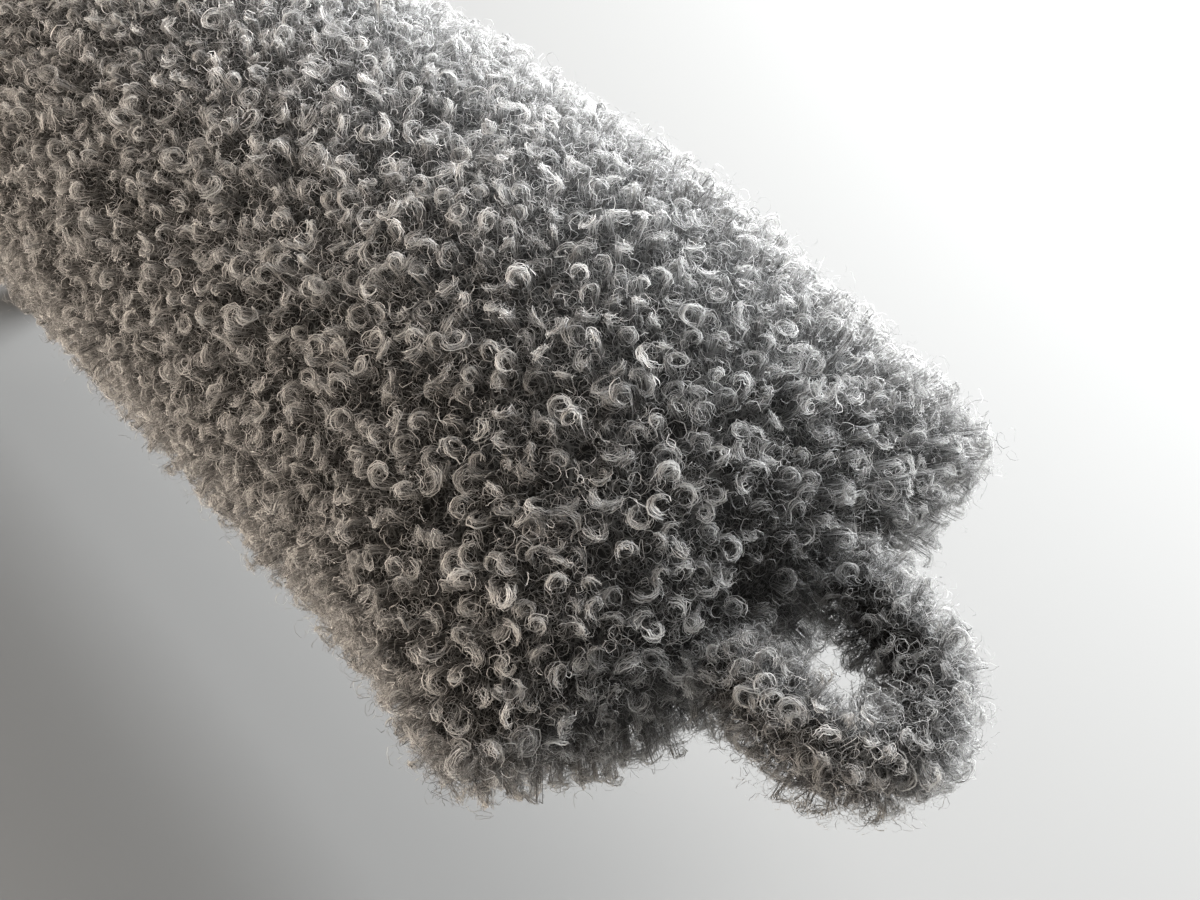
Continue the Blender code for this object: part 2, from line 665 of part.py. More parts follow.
def swivel_fork(parent, pivot_point):
    """A block with a slot for the knuckle's lug, screwed down onto the stand socket."""
    floor = FORK_FLOOR_Z - pivot_point[2]
    bottom = SOCKET_TOP_Z + GAP - pivot_point[2]
    depth = FORK_HALF_DEPTH
    outline = arc((0, 0), depth, 0, math.pi, 14) + [(-depth, bottom), (depth, bottom)]
    shape = prism(outline, "Y", -FORK_OUTER, FORK_OUTER)
    fork = solid("swivel_fork", *shape, "anodised", pivot_point, parent)
    slot_half = LUG_HALF_WIDTH + GAP
    slot_shape = block((-0.02, -slot_half, floor), (0.02, slot_half, 0.02))
    boolean(fork, cutter("fork_slot", slot_shape, pivot_point, parent))
    boolean(fork, bolt_hole("fork_bore", pivot_point, parent))
    hole_end = SOCKET_TOP_Z + FORK_SCREW_DEPTH + SCREW_ROOM
    boolean(fork, screw_hole("fork_screw_hole", "Z", 0.0, hole_end, (0, 0, 0), shank=FORK_SCREW_SHANK))


def clamp_nut(parent, pivot_point):
    outer = -FORK_OUTER - GAP
    corners = arc((0, 0), NUT_RADIUS, 0, 2 * math.pi * 5 / 6, 5)
    shape = prism(corners, "Y", outer - NUT_THICKNESS, outer)
    nut = solid("clamp_nut", *shape, "steel", pivot_point, parent)
    boolean(nut, bolt_hole("nut_bore", pivot_point, parent))


def clamp_bolt(parent, pivot_point):
    low = -FORK_OUTER - GAP - NUT_THICKNESS - BOLT_PAST_NUT
    high = KNOB_Y[1] - KNOB_END_WALL
    solid("clamp_bolt", *rod(BOLT_RADIUS, low, high, "Y", ROUND_SMALL), "steel", pivot_point, parent)


def tilt_knob(parent, pivot_point):
    """A lobed hand knob on the end of the bolt, standing off the fork on a round hub."""
    low, high = KNOB_Y
    turns = [2 * math.pi * i / ROUND for i in range(ROUND)]
    hub = KNOB_RADIUS * 0.56
    rings = []
    for y, radius, lobe in (
        (low, hub, 0.0),
        (low + 0.0030, hub, 0.0),
        (low + 0.0045, KNOB_RADIUS, KNOB_LOBE),
        (high - 0.0018, KNOB_RADIUS, KNOB_LOBE),
        (high, KNOB_RADIUS * 0.84, KNOB_LOBE * 0.84),
    ):
        radii = [radius + lobe * math.cos(KNOB_LOBES * t) for t in turns]
        rings.append([(r * math.cos(t), y, r * math.sin(t)) for r, t in zip(radii, turns)])
    knob = solid("tilt_knob", *skin(rings), "base_plastic", pivot_point, parent)
    bore = rod(BOLT_RADIUS + GAP, 0.0, high - KNOB_END_WALL + GAP, "Y", ROUND_SMALL)
    boolean(knob, cutter("knob_bore", bore, pivot_point, parent))


def stand_socket():
    """The barrel that screws onto a stand or boom, with a grip of shallow flutes."""
    steps = 2 * SOCKET_FLUTES
    turns = [2 * math.pi * i / steps for i in range(steps)]
    rings = []
    for z, radius, flute in (
        (0.0, SOCKET_RADIUS - 0.001, 0.0),
        (0.0012, SOCKET_RADIUS, 0.0),
        (0.0030, SOCKET_RADIUS, 0.0),
        (0.0036, SOCKET_RADIUS, SOCKET_FLUTE),
        (0.0200, SOCKET_RADIUS, SOCKET_FLUTE),
        (0.0206, SOCKET_RADIUS, 0.0),
        (0.0230, SOCKET_RADIUS, 0.0),
        (SOCKET_TOP_Z, SOCKET_RADIUS - 0.003, 0.0),
    ):
        radii = [radius - flute * (i % 2) for i in range(steps)]
        rings.append([(r * math.cos(t), r * math.sin(t), z) for r, t in zip(radii, turns)])
    socket = solid("stand_socket", *skin(rings), "anodised")
    boolean(socket, cutter("socket_bore", rod(SOCKET_BORE, -CUT_PAST, SOCKET_BORE_TOP_Z, "Z", ROUND)))
    top = SOCKET_TOP_Z + CUT_PAST
    boolean(socket, screw_hole("socket_screw_hole", "Z", CUT_PAST, top, (0, 0, 0), shank=FORK_SCREW_SHANK))


def thread_insert():
    outer = SOCKET_BORE - GAP
    profile = [(INSERT_BORE, 0.0), (outer, 0.0), (outer, INSERT_TOP_Z), (INSERT_BORE, INSERT_TOP_Z)]
    solid("thread_insert", *turned(profile, "Z", ROUND), "brass")


def fork_screw():
    """Holds the fork down on the socket from inside the bore."""
    seat, tip = SOCKET_BORE_TOP_Z - GAP, SOCKET_TOP_Z + FORK_SCREW_DEPTH
    screw("fork_screw", "Z", seat, tip, (0, 0, 0), shank=FORK_SCREW_SHANK, head=FORK_SCREW_HEAD)


def build():
    clear_scene()
    pivot_point = (0.0, 0.0, TILT_Z)
    axis_point = (0.0, 0.0, AXIS_Z)
    loop_point = (loop_axis_x(), 0.0, AXIS_Z)

    head = group("tilt_axis", pivot_point)
    knob = group("knob_axis", pivot_point)
    cage = group("cage_group", axis_point, head)
    cover = group("cover_group", axis_point, cage)
    loop = group("loop_axis", loop_point, cover)

    stand_socket()
    thread_insert()
    fork_screw()
    swivel_fork(None, pivot_point)
    clamp_nut(None, pivot_point)
    clamp_bolt(knob, pivot_point)
    tilt_knob(knob, pivot_point)

    ring = base_ring(head, axis_point)
    tilt_knuckle(head, axis_point, pivot_point, ring)
    back_cover(head, axis_point, ring)
    cable_grommet(head, axis_point)
    cage_seal_ring(head, axis_point)
    suspension_rail(head, axis_point, ring)
    for place, x in MOUNT_X.items():
        at = (x, 0.0, AXIS_Z)
        slider = group(f"{place}_mount_group", at, head)
        mount_carriage(place, slider, at)
        lyre(place, slider, at)
        mic_clip(place, slider, at)

    cage_collar(cage, axis_point)
    cage_ribs(cage, axis_point)
    cage_hoops(cage, axis_point)
    cage_nose_boss(cage, axis_point)

    fur_panels(cover, axis_point)
    cover_lining(cover, axis_point)
    hem_binding(cover, axis_point)
    pull_loop(loop, loop_point)


build()
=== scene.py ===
"""The looks of the furry windscreen: curled fur cover, lattice cage, sprung mounts and tilting stand base.

Everything is in metres, in the frame of the CAD model. The cover's shape is worked out from the CAD's boxes
and the few shape numbers below. The fur is real geometry: thousands of curled locks of flat fibres, rooted
on the cover's backing and reaching out to the CAD panels' surface.
"""

import json
import math

import bmesh
import bpy
import numpy as np
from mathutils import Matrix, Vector

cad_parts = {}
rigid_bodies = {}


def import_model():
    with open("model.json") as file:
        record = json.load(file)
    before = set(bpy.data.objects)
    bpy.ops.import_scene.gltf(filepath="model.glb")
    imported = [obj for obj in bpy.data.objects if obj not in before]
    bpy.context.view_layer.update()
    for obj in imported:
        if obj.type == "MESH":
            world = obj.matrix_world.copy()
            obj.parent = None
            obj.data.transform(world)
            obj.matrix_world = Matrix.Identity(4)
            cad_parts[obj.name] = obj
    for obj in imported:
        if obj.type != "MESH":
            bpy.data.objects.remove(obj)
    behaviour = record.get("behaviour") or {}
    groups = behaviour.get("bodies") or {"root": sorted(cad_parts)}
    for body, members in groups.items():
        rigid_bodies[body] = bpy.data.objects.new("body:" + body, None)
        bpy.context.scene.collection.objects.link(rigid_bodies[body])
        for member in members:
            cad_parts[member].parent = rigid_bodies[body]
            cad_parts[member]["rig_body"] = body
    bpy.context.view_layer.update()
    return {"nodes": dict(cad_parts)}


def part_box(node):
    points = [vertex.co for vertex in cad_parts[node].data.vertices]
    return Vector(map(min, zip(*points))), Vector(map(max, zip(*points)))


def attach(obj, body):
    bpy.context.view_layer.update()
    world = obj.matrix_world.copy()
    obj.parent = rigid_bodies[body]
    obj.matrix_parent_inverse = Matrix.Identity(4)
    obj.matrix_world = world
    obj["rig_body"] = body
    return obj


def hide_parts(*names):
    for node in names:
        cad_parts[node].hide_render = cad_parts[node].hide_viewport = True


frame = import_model()

# ---------------------------------------------------------------- the cover's shape, from the frame

PANEL_LOW, PANEL_HIGH = (np.array(corner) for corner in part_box("fur_upper_panel"))
AXIS_Z = PANEL_LOW[2]
FUR_RADIUS = PANEL_HIGH[2] - AXIS_Z
SEAM_BULGE = 0.0061
SEAM_X = PANEL_HIGH[0] - SEAM_BULGE
REAR_X = PANEL_LOW[0]
COVER_LENGTH = SEAM_X - REAR_X

EAR_HALF_WIDTH = 0.0833
EAR_CORNER = 0.0147
EAR_LENGTH = 0.087
EAR_FLARE = 1.65
EAR_PINCH = 0.45
SEAM_HALF_HEIGHT = 0.0112
NOSE_LENGTH = 0.090

LOOP_HINGE = np.array((SEAM_X + SEAM_BULGE + 0.0143, 0.0, AXIS_Z))
LOOP_HALF_SPAN = 0.0180
LOOP_REACH = 0.0380
LOOP_SWELL = 0.18
LOOP_HALF_THICKNESS = 0.0100
LOOP_HALF_HEIGHT = 0.0140
LOOP_DROOP = math.radians(13)
LOOP_PILE = 0.0066
LOOP_SPACING = 0.0040
LOOP_TRIES = 9000
LOOP_STRAP_INSET = 0.8

# ---------------------------------------------------------------- camera, light and floor

CAMERA_AZIMUTH = math.radians(51.0)
CAMERA_ELEVATION = math.radians(41.65)
CAMERA_DISTANCE = 0.390
CAMERA_AIM = Vector((SEAM_X - 0.0598, 0.0047, AXIS_Z))
LENS_MM = 49.6


def toward(azimuth, elevation):
    """Unit vector from the object towards a viewer at this azimuth and elevation."""
    flat = math.cos(elevation)
    return Vector((math.sin(azimuth) * flat, -math.cos(azimuth) * flat, math.sin(elevation)))


def placed(name, data):
    """A new object in the scene."""
    thing = bpy.data.objects.new(name, data)
    bpy.context.collection.objects.link(thing)
    return thing


def add_camera():
    data = bpy.data.cameras.new("camera")
    data.lens = LENS_MM
    data.sensor_width = 36.0
    data.clip_start = 0.01
    camera = placed("camera", data)
    out = toward(CAMERA_AZIMUTH, CAMERA_ELEVATION)
    camera.location = CAMERA_AIM + out * CAMERA_DISTANCE
    camera.rotation_euler = (-out).to_track_quat("-Z", "Y").to_euler()
    bpy.context.scene.camera = camera


def area_light(name, location, aim, size, power, colour):
    data = bpy.data.lights.new(name, "AREA")
    data.shape = "RECTANGLE"
    data.size, data.size_y = size
    data.energy = power
    data.color = colour
    lamp = placed(name, data)
    lamp.location = location
    lamp.rotation_euler = (Vector(aim) - Vector(location)).to_track_quat("-Z", "Y").to_euler()
    return lamp


FUR_COLLECTION = bpy.data.collections.new("fur_for_bounce")


def add_light():
    centre = (SEAM_X - 0.1, 0.0, AXIS_Z)
    area_light("window", (0.28, 1.20, 0.55), centre, (1.1, 0.6), 60.0, (0.91, 0.955, 1.0))
    sky = bpy.data.lights.new("sky", "SUN")
    sky.energy = 2.45
    sky.angle = math.radians(42)
    sky.color = (0.98, 0.99, 1.0)
    overhead = placed("sky", sky)
    overhead.rotation_euler = Vector((-0.05, 0.62, 1.0)).to_track_quat("Z", "Y").to_euler()
    bounce = area_light("bounce", (-0.15, -0.85, 0.18), centre, (0.8, 0.4), 22.0, (1.0, 0.86, 0.73))
    rim = area_light("rim", (-0.10, 0.60, 0.22), (0.15, 0.05, 0.16), (0.5, 0.3), 13.0, (0.96, 0.98, 1.0))
    for lamp in (bounce, rim):
        lamp.light_linking.receiver_collection = FUR_COLLECTION
    world = bpy.data.worlds.new("studio")
    bpy.context.scene.world = world
    world.use_nodes = True
    tree = world.node_tree
    ambient = tree.nodes["Background"]
    ambient.inputs["Color"].default_value = (1.0, 0.87, 0.72, 1.0)
    ambient.inputs["Strength"].default_value = 0.20
    backdrop = add_node(tree, "ShaderNodeBackground", {"Color": (0.84, 0.84, 0.83, 1.0), "Strength": 1.0})
    seen = add_node(tree, "ShaderNodeLightPath").outputs["Is Camera Ray"]
    both = add_node(tree, "ShaderNodeMixShader", {0: seen, 1: ambient.outputs[0], 2: backdrop.outputs[0]})
    tree.links.new(both.outputs[0], tree.nodes["World Output"].inputs["Surface"])
    bpy.context.scene.view_settings.view_transform = "Standard"


# ---------------------------------------------------------------- materials


def new_material(name, roughness, colour=(0.5, 0.5, 0.5), metallic=0.0):
    material = bpy.data.materials.new(name)
    material.use_nodes = True
    shader = material.node_tree.nodes["Principled BSDF"]
    shader.inputs["Base Color"].default_value = (*colour, 1.0)
    shader.inputs["Roughness"].default_value = roughness
    shader.inputs["Metallic"].default_value = metallic
    return material, material.node_tree, shader


def add_node(tree, kind, inputs=None, **settings):
    node = tree.nodes.new(kind)
    for key, value in settings.items():
        setattr(node, key, value)
    for key, value in (inputs or {}).items():
        if isinstance(value, bpy.types.NodeSocket):
            tree.links.new(value, node.inputs[key])
        else:
            node.inputs[key].default_value = value
    return node


def fibre_material():
    """Grey fibres, each lock with its own tone from the shade attribute, which also carries painted shade:
    darker towards the root, deep in the pile and round the loop's roots.
    """
    material, tree, shader = new_material("curled_fur", 0.26)
    shade = add_node(tree, "ShaderNodeAttribute", attribute_name="shade")
    ramp = add_node(tree, "ShaderNodeValToRGB", {"Fac": shade.outputs["Fac"]})
    ramp.color_ramp.elements[0].color = (0.030, 0.029, 0.028, 1)
    ramp.color_ramp.elements[1].color = (0.755, 0.743, 0.722, 1)
    tree.links.new(ramp.outputs["Color"], shader.inputs["Base Color"])
    shader.inputs["Specular IOR Level"].default_value = 0.75
    through = add_node(tree, "ShaderNodeBsdfTranslucent", {"Color": ramp.outputs["Color"]})
    both = add_node(tree, "ShaderNodeMixShader", {0: 0.55, 1: shader.outputs[0], 2: through.outputs[0]})
    tree.links.new(both.outputs[0], tree.nodes["Material Output"].inputs["Surface"])
    return material


# ---------------------------------------------------------------- the cover's surfaces

PILE = 0.0105
BACKING_RADIUS = 0.0510
SEAM_PILE_SHARE = 0.66
UNDERFUR_INSET = 0.66
LOCK_SPACING = 0.0044
ROOT_TRIES = 90_000
SEAM_END_GAP = 0.006


def smooth_step(x):
    x = np.clip(x, 0.0, 1.0)
    return x * x * (3 - 2 * x)


def full_turn(count):
    """Even angles round one turn, without the last, which is the first again."""
    return np.linspace(0, 2 * math.pi, count + 1)[:-1]


def cover_point(back, turn, inset=0.0):
    """A point of the cover's outline. back: distance back from the end seam. turn: angle round the body.
    inset: how far inside the fur's outer surface, from 0 to 1 at the backing."""
    back = np.asarray(back, float)
    flare = (EAR_HALF_WIDTH - FUR_RADIUS) * np.clip(1 - back / EAR_LENGTH, 0, 1) ** EAR_FLARE
    near = np.minimum(back, EAR_CORNER)
    dip = EAR_CORNER - np.sqrt(np.maximum(EAR_CORNER**2 - (EAR_CORNER - near) ** 2, 0))
    half_width = FUR_RADIUS + flare - dip - inset * PILE
    rise = np.sqrt(1 - (1 - np.minimum(back / NOSE_LENGTH, 1.0)) ** 2)
    seam_inset = PILE * SEAM_PILE_SHARE
    body_inset = seam_inset + (PILE - seam_inset) * smooth_step(back / (2 * PILE))
    half_height = SEAM_HALF_HEIGHT + (FUR_RADIUS - SEAM_HALF_HEIGHT) * rise - inset * body_inset
    end = 1 - smooth_step(back / EAR_LENGTH)
    pinch = 1 + EAR_PINCH * end
    y = half_width * np.cos(turn)
    z = half_height * np.sign(np.sin(turn)) * np.abs(np.sin(turn)) ** pinch
    x = SEAM_X - back + SEAM_BULGE * (1 - (y / EAR_HALF_WIDTH) ** 2) * end
    x = x - inset * PILE * (1 - smooth_step(back / (3 * PILE)))
    return np.stack(np.broadcast_arrays(x, y, AXIS_Z + z), -1)


def thinned(points, spacing, seed):
    """Indices of points no two of which lie closer than spacing, picked in random order."""
    order = np.random.default_rng(seed).permutation(len(points))
    cells = {}
    kept = []
    for i in order:
        p = points[i]
        key = tuple((p // spacing).astype(int))
        clear = True
        for dx in (-1, 0, 1):
            for dy in (-1, 0, 1):
                for dz in (-1, 0, 1):
                    for other in cells.get((key[0] + dx, key[1] + dy, key[2] + dz), ()):
                        if ((points[other] - p) ** 2).sum() < spacing * spacing:
                            clear = False
        if clear:
            cells.setdefault(key, []).append(i)
            kept.append(i)
    return np.array(sorted(kept))


def cover_roots():
    """Where the cover's locks grow: root, outward direction and reach of each, spread evenly."""
    rng = np.random.default_rng(11)
    back = rng.uniform(0.0, 1.0, ROOT_TRIES) * COVER_LENGTH
    turn = rng.uniform(0.0, 2 * math.pi, ROOT_TRIES)
    outer = cover_point(back, turn)
    keep = thinned(outer, LOCK_SPACING, 12)
    back, turn = back[keep], turn[keep]
    outer = outer[keep]
    inner = cover_point(back, turn, 1.0)
    # two rows of locks on the end seam itself, one on each side of it
    seam_end = EAR_HALF_WIDTH - SEAM_END_GAP
    seam_y = np.arange(-seam_end, seam_end, LOCK_SPACING * 0.8)
    for height in (-0.45, 0.45):
        tip = np.stack([SEAM_X + SEAM_BULGE * (1 - (seam_y / EAR_HALF_WIDTH) ** 2), seam_y,
                        np.full(len(seam_y), AXIS_Z + height * SEAM_HALF_HEIGHT)], -1)
        root = tip - np.array((PILE, 0, 0)) * 0.9
        root[:, 2] = AXIS_Z + 0.3 * height * SEAM_HALF_HEIGHT
        edge = np.abs(seam_y) / EAR_HALF_WIDTH
        tip[:, 0] -= 0.006 * edge**8
        outer = np.concatenate([outer, tip])
        inner = np.concatenate([inner, root])
    return inner, outer


def unit(v):
    return v / np.maximum(np.linalg.norm(v, axis=-1, keepdims=True), 1e-9)


FIBRE_WIDTH = 0.00020
TUBE_EDGE = math.radians(62)
RINGLET_SHARE = 0.14
CURL_RADIUS = 0.0021
CURL_TONE, FRIZZ_TONE = 0.70, 0.50
# painted shade: how dark each fibre is painted where it rises from the backing, as a share of its tone
CURL_ROOT_DARK, FRIZZ_ROOT_DARK = 0.13, 0.6
# curled fibres in a lock, steps of each, loose fibres in a lock, and steps of each
FINE_FIBRES, COARSE_FIBRES = (21, 11, 34, 7), (9, 9, 10, 6)
COARSE_WIDTH = 1.35


def helix(centre, e1, e2, axis, radius, angle, climb):
    """Points round an axis: radius, angle and climb are given per fibre and step."""
    turn = np.cos(angle)[..., None] * e1[:, None, None] + np.sin(angle)[..., None] * e2[:, None, None]
    return centre + radius[..., None] * turn + climb[..., None] * axis[:, None, None]


def crimp(rng, shape, t, amount):
    """A fine random waviness along each fibre."""
    n, f = shape
    wave = 0
    for cycles in ((1.5, 2.8), (2.8, 4.6)):
        turns = rng.uniform(*cycles, (n, f, 1, 3))
        phase = rng.uniform(0, 2 * math.pi, (n, f, 1, 3))
        size = rng.normal(0, amount, (n, f, 1, 3))
        wave = wave + size * np.sin(2 * math.pi * turns * t[..., None] + phase)
    return wave


def frame_across(rng, out, slant):
    """For each lock an axis slanted off its outward direction, and two directions across that axis."""
    any_way = unit(rng.normal(size=out.shape))
    side = unit(any_way - out * (any_way * out).sum(-1, keepdims=True))
    axis = unit(out * np.cos(slant)[:, None] + side * np.sin(slant)[:, None])
    e1 = unit(np.cross(axis, np.cross(out, side) + 0.02 * out))
    return axis, e1, np.cross(axis, e1)


def curls(rng, inner, outer, fibres, steps):
    """The curled fibres of each lock: some lie as flat crescents, most rise, arch over and turn back in."""
    n = len(inner)
    out = unit(outer - inner)
    reach = np.linalg.norm(outer - inner, axis=-1)
    flat = rng.uniform(size=n) < RINGLET_SHARE
    slant = np.where(flat, np.abs(rng.normal(0, 0.40, n)), rng.uniform(0.30, 1.20, n))
    axis, up, sideways = frame_across(rng, out, slant)
    size = CURL_RADIUS * np.clip(np.exp(rng.normal(0, 0.20, n)), 0.66, 1.28)
    turns = np.where(flat, rng.uniform(0.50, 0.95, n), rng.uniform(0.42, 0.85, n))
    hand = rng.choice((-1.0, 1.0), n)
    start = np.where(flat, rng.uniform(-math.pi, math.pi, n), -hand * (math.pi / 2 + rng.normal(0, 0.5, n)))
    height = reach - size * np.abs(np.sin(slant)) * 0.8 + rng.normal(-0.0003, 0.0013, n)
    centre = inner + out * height[:, None]
    centre = centre + sideways * rng.normal(0, 0.0012, (n, 1)) + rng.normal(0, 0.0008, (n, 3))

    t = np.linspace(0, 1, steps + 1)[None, None, :]
    per = (n, fibres, 1)
    gather = 1.0 - 0.62 * smooth_step(t / 0.9)
    phase = start[:, None, None] + rng.normal(0, 0.52, per)
    sweep = hand[:, None, None] * 2 * math.pi * turns[:, None, None]
    angle = phase + sweep * rng.uniform(0.62, 1.15, per) * t
    tighten = rng.uniform(0.25, 0.60, per)
    ring = size[:, None, None] * (1.12 - tighten * t) + rng.normal(0, 0.00052, per) * gather
    climb = rng.normal(0, 0.00062, per) * gather + (t - 0.4) * rng.normal(0.0010, 0.0012, (n, 1, 1))
    points = helix(centre[:, None, None], up, sideways, axis, ring, angle, climb)
    points = points + rng.normal(0, 0.00034, (n, fibres, 1, 3)) * gather[..., None]
    points = points + crimp(rng, (n, fibres), t, 0.00017)
    root = inner[:, None, None, :] + rng.normal(0, 0.0008, (n, fibres, 1, 3))
    rise = smooth_step(t / 0.17)[..., None]
    points = root * (1 - rise) + points * rise
    tone = CURL_TONE * np.exp(rng.normal(0, 0.16, (n, 1)) + rng.normal(0, 0.72, (n, fibres)))
    # painted shade deep in the pile, with lighter tips at the crest, from pile_height_shade
    tone = tone[..., None] * pile_height_shade(points, inner, out, reach)
    width = FIBRE_WIDTH * np.exp(rng.normal(-0.16, 0.40, (n, fibres)))
    return points, out, np.clip(tone, 0.04, 1.0), width


def pile_height_shade(points, inner, out, reach):
    """How light a fibre is painted along its way: dark near the backing, which is painted shade deep in the
    pile, and lightest at the crest of the pile, as real fur's tips are.
    """
    height = np.einsum("nfsk,nk->nfs", points - inner[:, None, None], out) / reach[:, None, None]
    return 0.30 + 0.78 * smooth_step((height - 0.40) / 0.58)


def frizz(rng, inner, outer, fibres, steps):
    """Thin loose fibres that fill the space round each lock."""
    n = len(inner)
    out = unit(outer - inner)
    reach = np.linalg.norm(outer - inner, axis=-1)
    t = np.linspace(0, 1, steps + 1)[None, None, :]
    per = (n, fibres, 1)
    count = n * fibres
    spread_out = np.repeat(out, fibres, 0)
    axis, e1, e2 = frame_across(rng, spread_out, rng.uniform(0, math.pi, count))
    shape = (n, fibres, 3)
    axis, e1, e2 = axis.reshape(shape), e1.reshape(shape), e2.reshape(shape)
    height = reach[:, None] * rng.uniform(0.30, 0.88, (n, fibres))
    base = inner[:, None] + rng.normal(0, 0.0024, shape)
    centre = base + out[:, None] * height[..., None]
    radius = rng.uniform(0.0009, 0.0024, per) * (1 - 0.3 * t)
    turns = rng.uniform(0.35, 1.05, per) * rng.choice((-1.0, 1.0), per)
    angle = rng.uniform(0, 2 * math.pi, per) + 2 * math.pi * turns * t
    climb = (t - 0.5) * rng.normal(0, 0.0017, per)
    turn = np.cos(angle)[..., None] * e1[:, :, None] + np.sin(angle)[..., None] * e2[:, :, None]
    points = centre[:, :, None] + radius[..., None] * turn + climb[..., None] * axis[:, :, None]
    points = points + crimp(rng, (n, fibres), t, 0.00010)
    tone = FRIZZ_TONE * np.exp(rng.normal(0, 0.55, (n, fibres)))[..., None]
    # painted shade deep in the pile, with lighter tips at the crest, from pile_height_shade
    tone = tone * pile_height_shade(points, inner, out, reach)
    width = FIBRE_WIDTH * 0.66 * np.exp(rng.normal(0, 0.25, (n, fibres)))
    return points, out, np.clip(tone, 0.04, 1.0), width


def ribbons(rng, points, out, tone, width, root_dark):
    """Vertices, normals, tones and step count of flat ribbons along fibres. Each faces roughly outwards, and
    its normals lean out at the edges, so that it catches the light as a round fibre does."""
    n, f, steps, _ = points.shape
    ahead = unit(np.gradient(points, axis=2))
    face = np.broadcast_to(out[:, None, None], points.shape)
    across = unit(np.cross(ahead, face + 0.02))
    face = np.cross(across, ahead)
    roll = rng.normal(0, 0.55, (n, f, 1, 1))
    cos, sin = np.cos(roll), np.sin(roll)
    across, face = across * cos + face * sin, face * cos - across * sin
    t = np.linspace(0, 1, steps)[None, None, :, None]
    from_root = smooth_step((t - 0.02) / 0.30)
    half = width[:, :, None, None] * (1 - 0.5 * t) * (0.55 + 0.45 * from_root) / 2
    verts = np.stack([points - across * half, points + across * half], axis=3)
    lean = math.sin(TUBE_EDGE)
    straight = math.cos(TUBE_EDGE)
    normals = np.stack([face * straight - across * lean, face * straight + across * lean], axis=3)
    # painted shade: each fibre is painted darker where it rises from the backing, down to root_dark of its
    # tone
    shade = tone * (root_dark + (1 - root_dark) * from_root[..., 0])
    shade = np.repeat(shade[..., None], 2, axis=3)
    return verts.reshape(-1, 3), normals.reshape(-1, 3), shade.reshape(-1), (n * f, steps)


def strip_layout(counts):
    """Texture coordinates for ribbons: each lies along one cell of a grid of wide, low cells."""
    total = sum(fibres for fibres, _ in counts)
    columns = max(1, math.ceil(math.sqrt(total / 4)))
    rows = math.ceil(total / columns)
    spans, start = [], 0
    for fibres, steps in counts:
        cell = start + np.arange(fibres)
        low = np.linspace(0, 1, steps)[:-1]
        high = np.linspace(0, 1, steps)[1:]
        ends = np.stack([low, low, high, high], -1)
        sides = np.broadcast_to(np.array((0.0, 1.0, 1.0, 0.0)), ends.shape)
        u = ((cell % columns)[:, None, None] + 0.1 + 0.8 * ends[None]) / columns
        v = ((cell // columns)[:, None, None] + 0.2 + 0.6 * sides[None]) / rows
        spans.append(np.stack([u, v], -1).reshape(-1, 2))
        start += fibres
    return np.concatenate(spans)


def ribbon_mesh(name, layers, material, body):
    """One piece from the ribbons of several layers of fibres."""
    verts, normals, shade, quads, start = [], [], [], [], 0
    for points, normal, tone, (fibres, steps) in layers:
        first = start + (np.arange(fibres) * steps * 2)[:, None] + (np.arange(steps - 1) * 2)[None, :]
        quads.append(np.stack([first, first + 1, first + 3, first + 2], -1).reshape(-1, 4))
        verts.append(points)
        normals.append(normal)
        shade.append(tone)
        start += len(points)
    verts, normals = np.concatenate(verts), np.concatenate(normals)
    shade, quads = np.concatenate(shade), np.concatenate(quads)
    mesh = bpy.data.meshes.new(name)
    mesh.vertices.add(len(verts))
    mesh.vertices.foreach_set("co", verts.astype(np.float32).ravel())
    mesh.loops.add(quads.size)
    mesh.loops.foreach_set("vertex_index", quads.astype(np.int32).ravel())
    mesh.polygons.add(len(quads))
    mesh.polygons.foreach_set("loop_start", np.arange(0, quads.size, 4, dtype=np.int32))
    layer = mesh.attributes.new("shade", "FLOAT", "POINT")
    layer.data.foreach_set("value", shade.astype(np.float32))
    strips = mesh.uv_layers.new(name="OFBake")
    layout = strip_layout([counts for *_, counts in layers])
    strips.data.foreach_set("uv", layout.astype(np.float32).ravel())
    mesh.update(calc_edges=True)
    mesh.polygons.foreach_set("use_smooth", np.ones(len(quads), bool))
    mesh.normals_split_custom_set_from_vertices(normals.astype(np.float32))
    mesh.materials.append(material)
    piece = placed(name, mesh)
    FUR_COLLECTION.objects.link(piece)
    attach(piece, body)


def with_painted_shade(tone, depth):
    """Tones of locks with painted shade, where a depth of 1 is none: the lightest fibres lose the least."""
    depth = depth[:, None, None]
    return tone * (depth + (1 - depth) * 0.5 * tone)


def grow(name, inner, outer, seed, material, body, fine, depth=None):
    """A stretch of fur. fine: whether it gets more, thinner fibres. depth: painted shade that darkens locks,
    1 for none.
    """
    rng = np.random.default_rng(seed)
    curl_count, curl_steps, frizz_count, frizz_steps = FINE_FIBRES if fine else COARSE_FIBRES
    widen = 1.0 if fine else COARSE_WIDTH
    depth = np.ones(len(inner)) if depth is None else depth
    layers = []
    for make, count, steps, root_dark in ((curls, curl_count, curl_steps, CURL_ROOT_DARK),
                                          (frizz, frizz_count, frizz_steps, FRIZZ_ROOT_DARK)):
        points, out, tone, width = make(rng, inner, outer, count, steps)
        layers.append(ribbons(rng, points, out, with_painted_shade(tone, depth), width * widen, root_dark))
    ribbon_mesh(name, layers, material, body)


def grid_mesh(name, points, closed_u, material, body):
    """A surface over a grid of points, closed round its first direction or not."""
    nu, nv, _ = points.shape
    bm = bmesh.new()
    verts = [[bm.verts.new(points[i, j]) for j in range(nv)] for i in range(nu)]
    for i in range(nu if closed_u else nu - 1):
        k = (i + 1) % nu
        for j in range(nv - 1):
            bm.faces.new((verts[i][j], verts[k][j], verts[k][j + 1], verts[i][j + 1]))
    bmesh.ops.recalc_face_normals(bm, faces=bm.faces)
    mesh = bpy.data.meshes.new(name)
    bm.to_mesh(mesh)
    bm.free()
    mesh.shade_smooth()
    mesh.materials.append(material)
    piece = placed(name, mesh)
    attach(piece, body)
    return piece


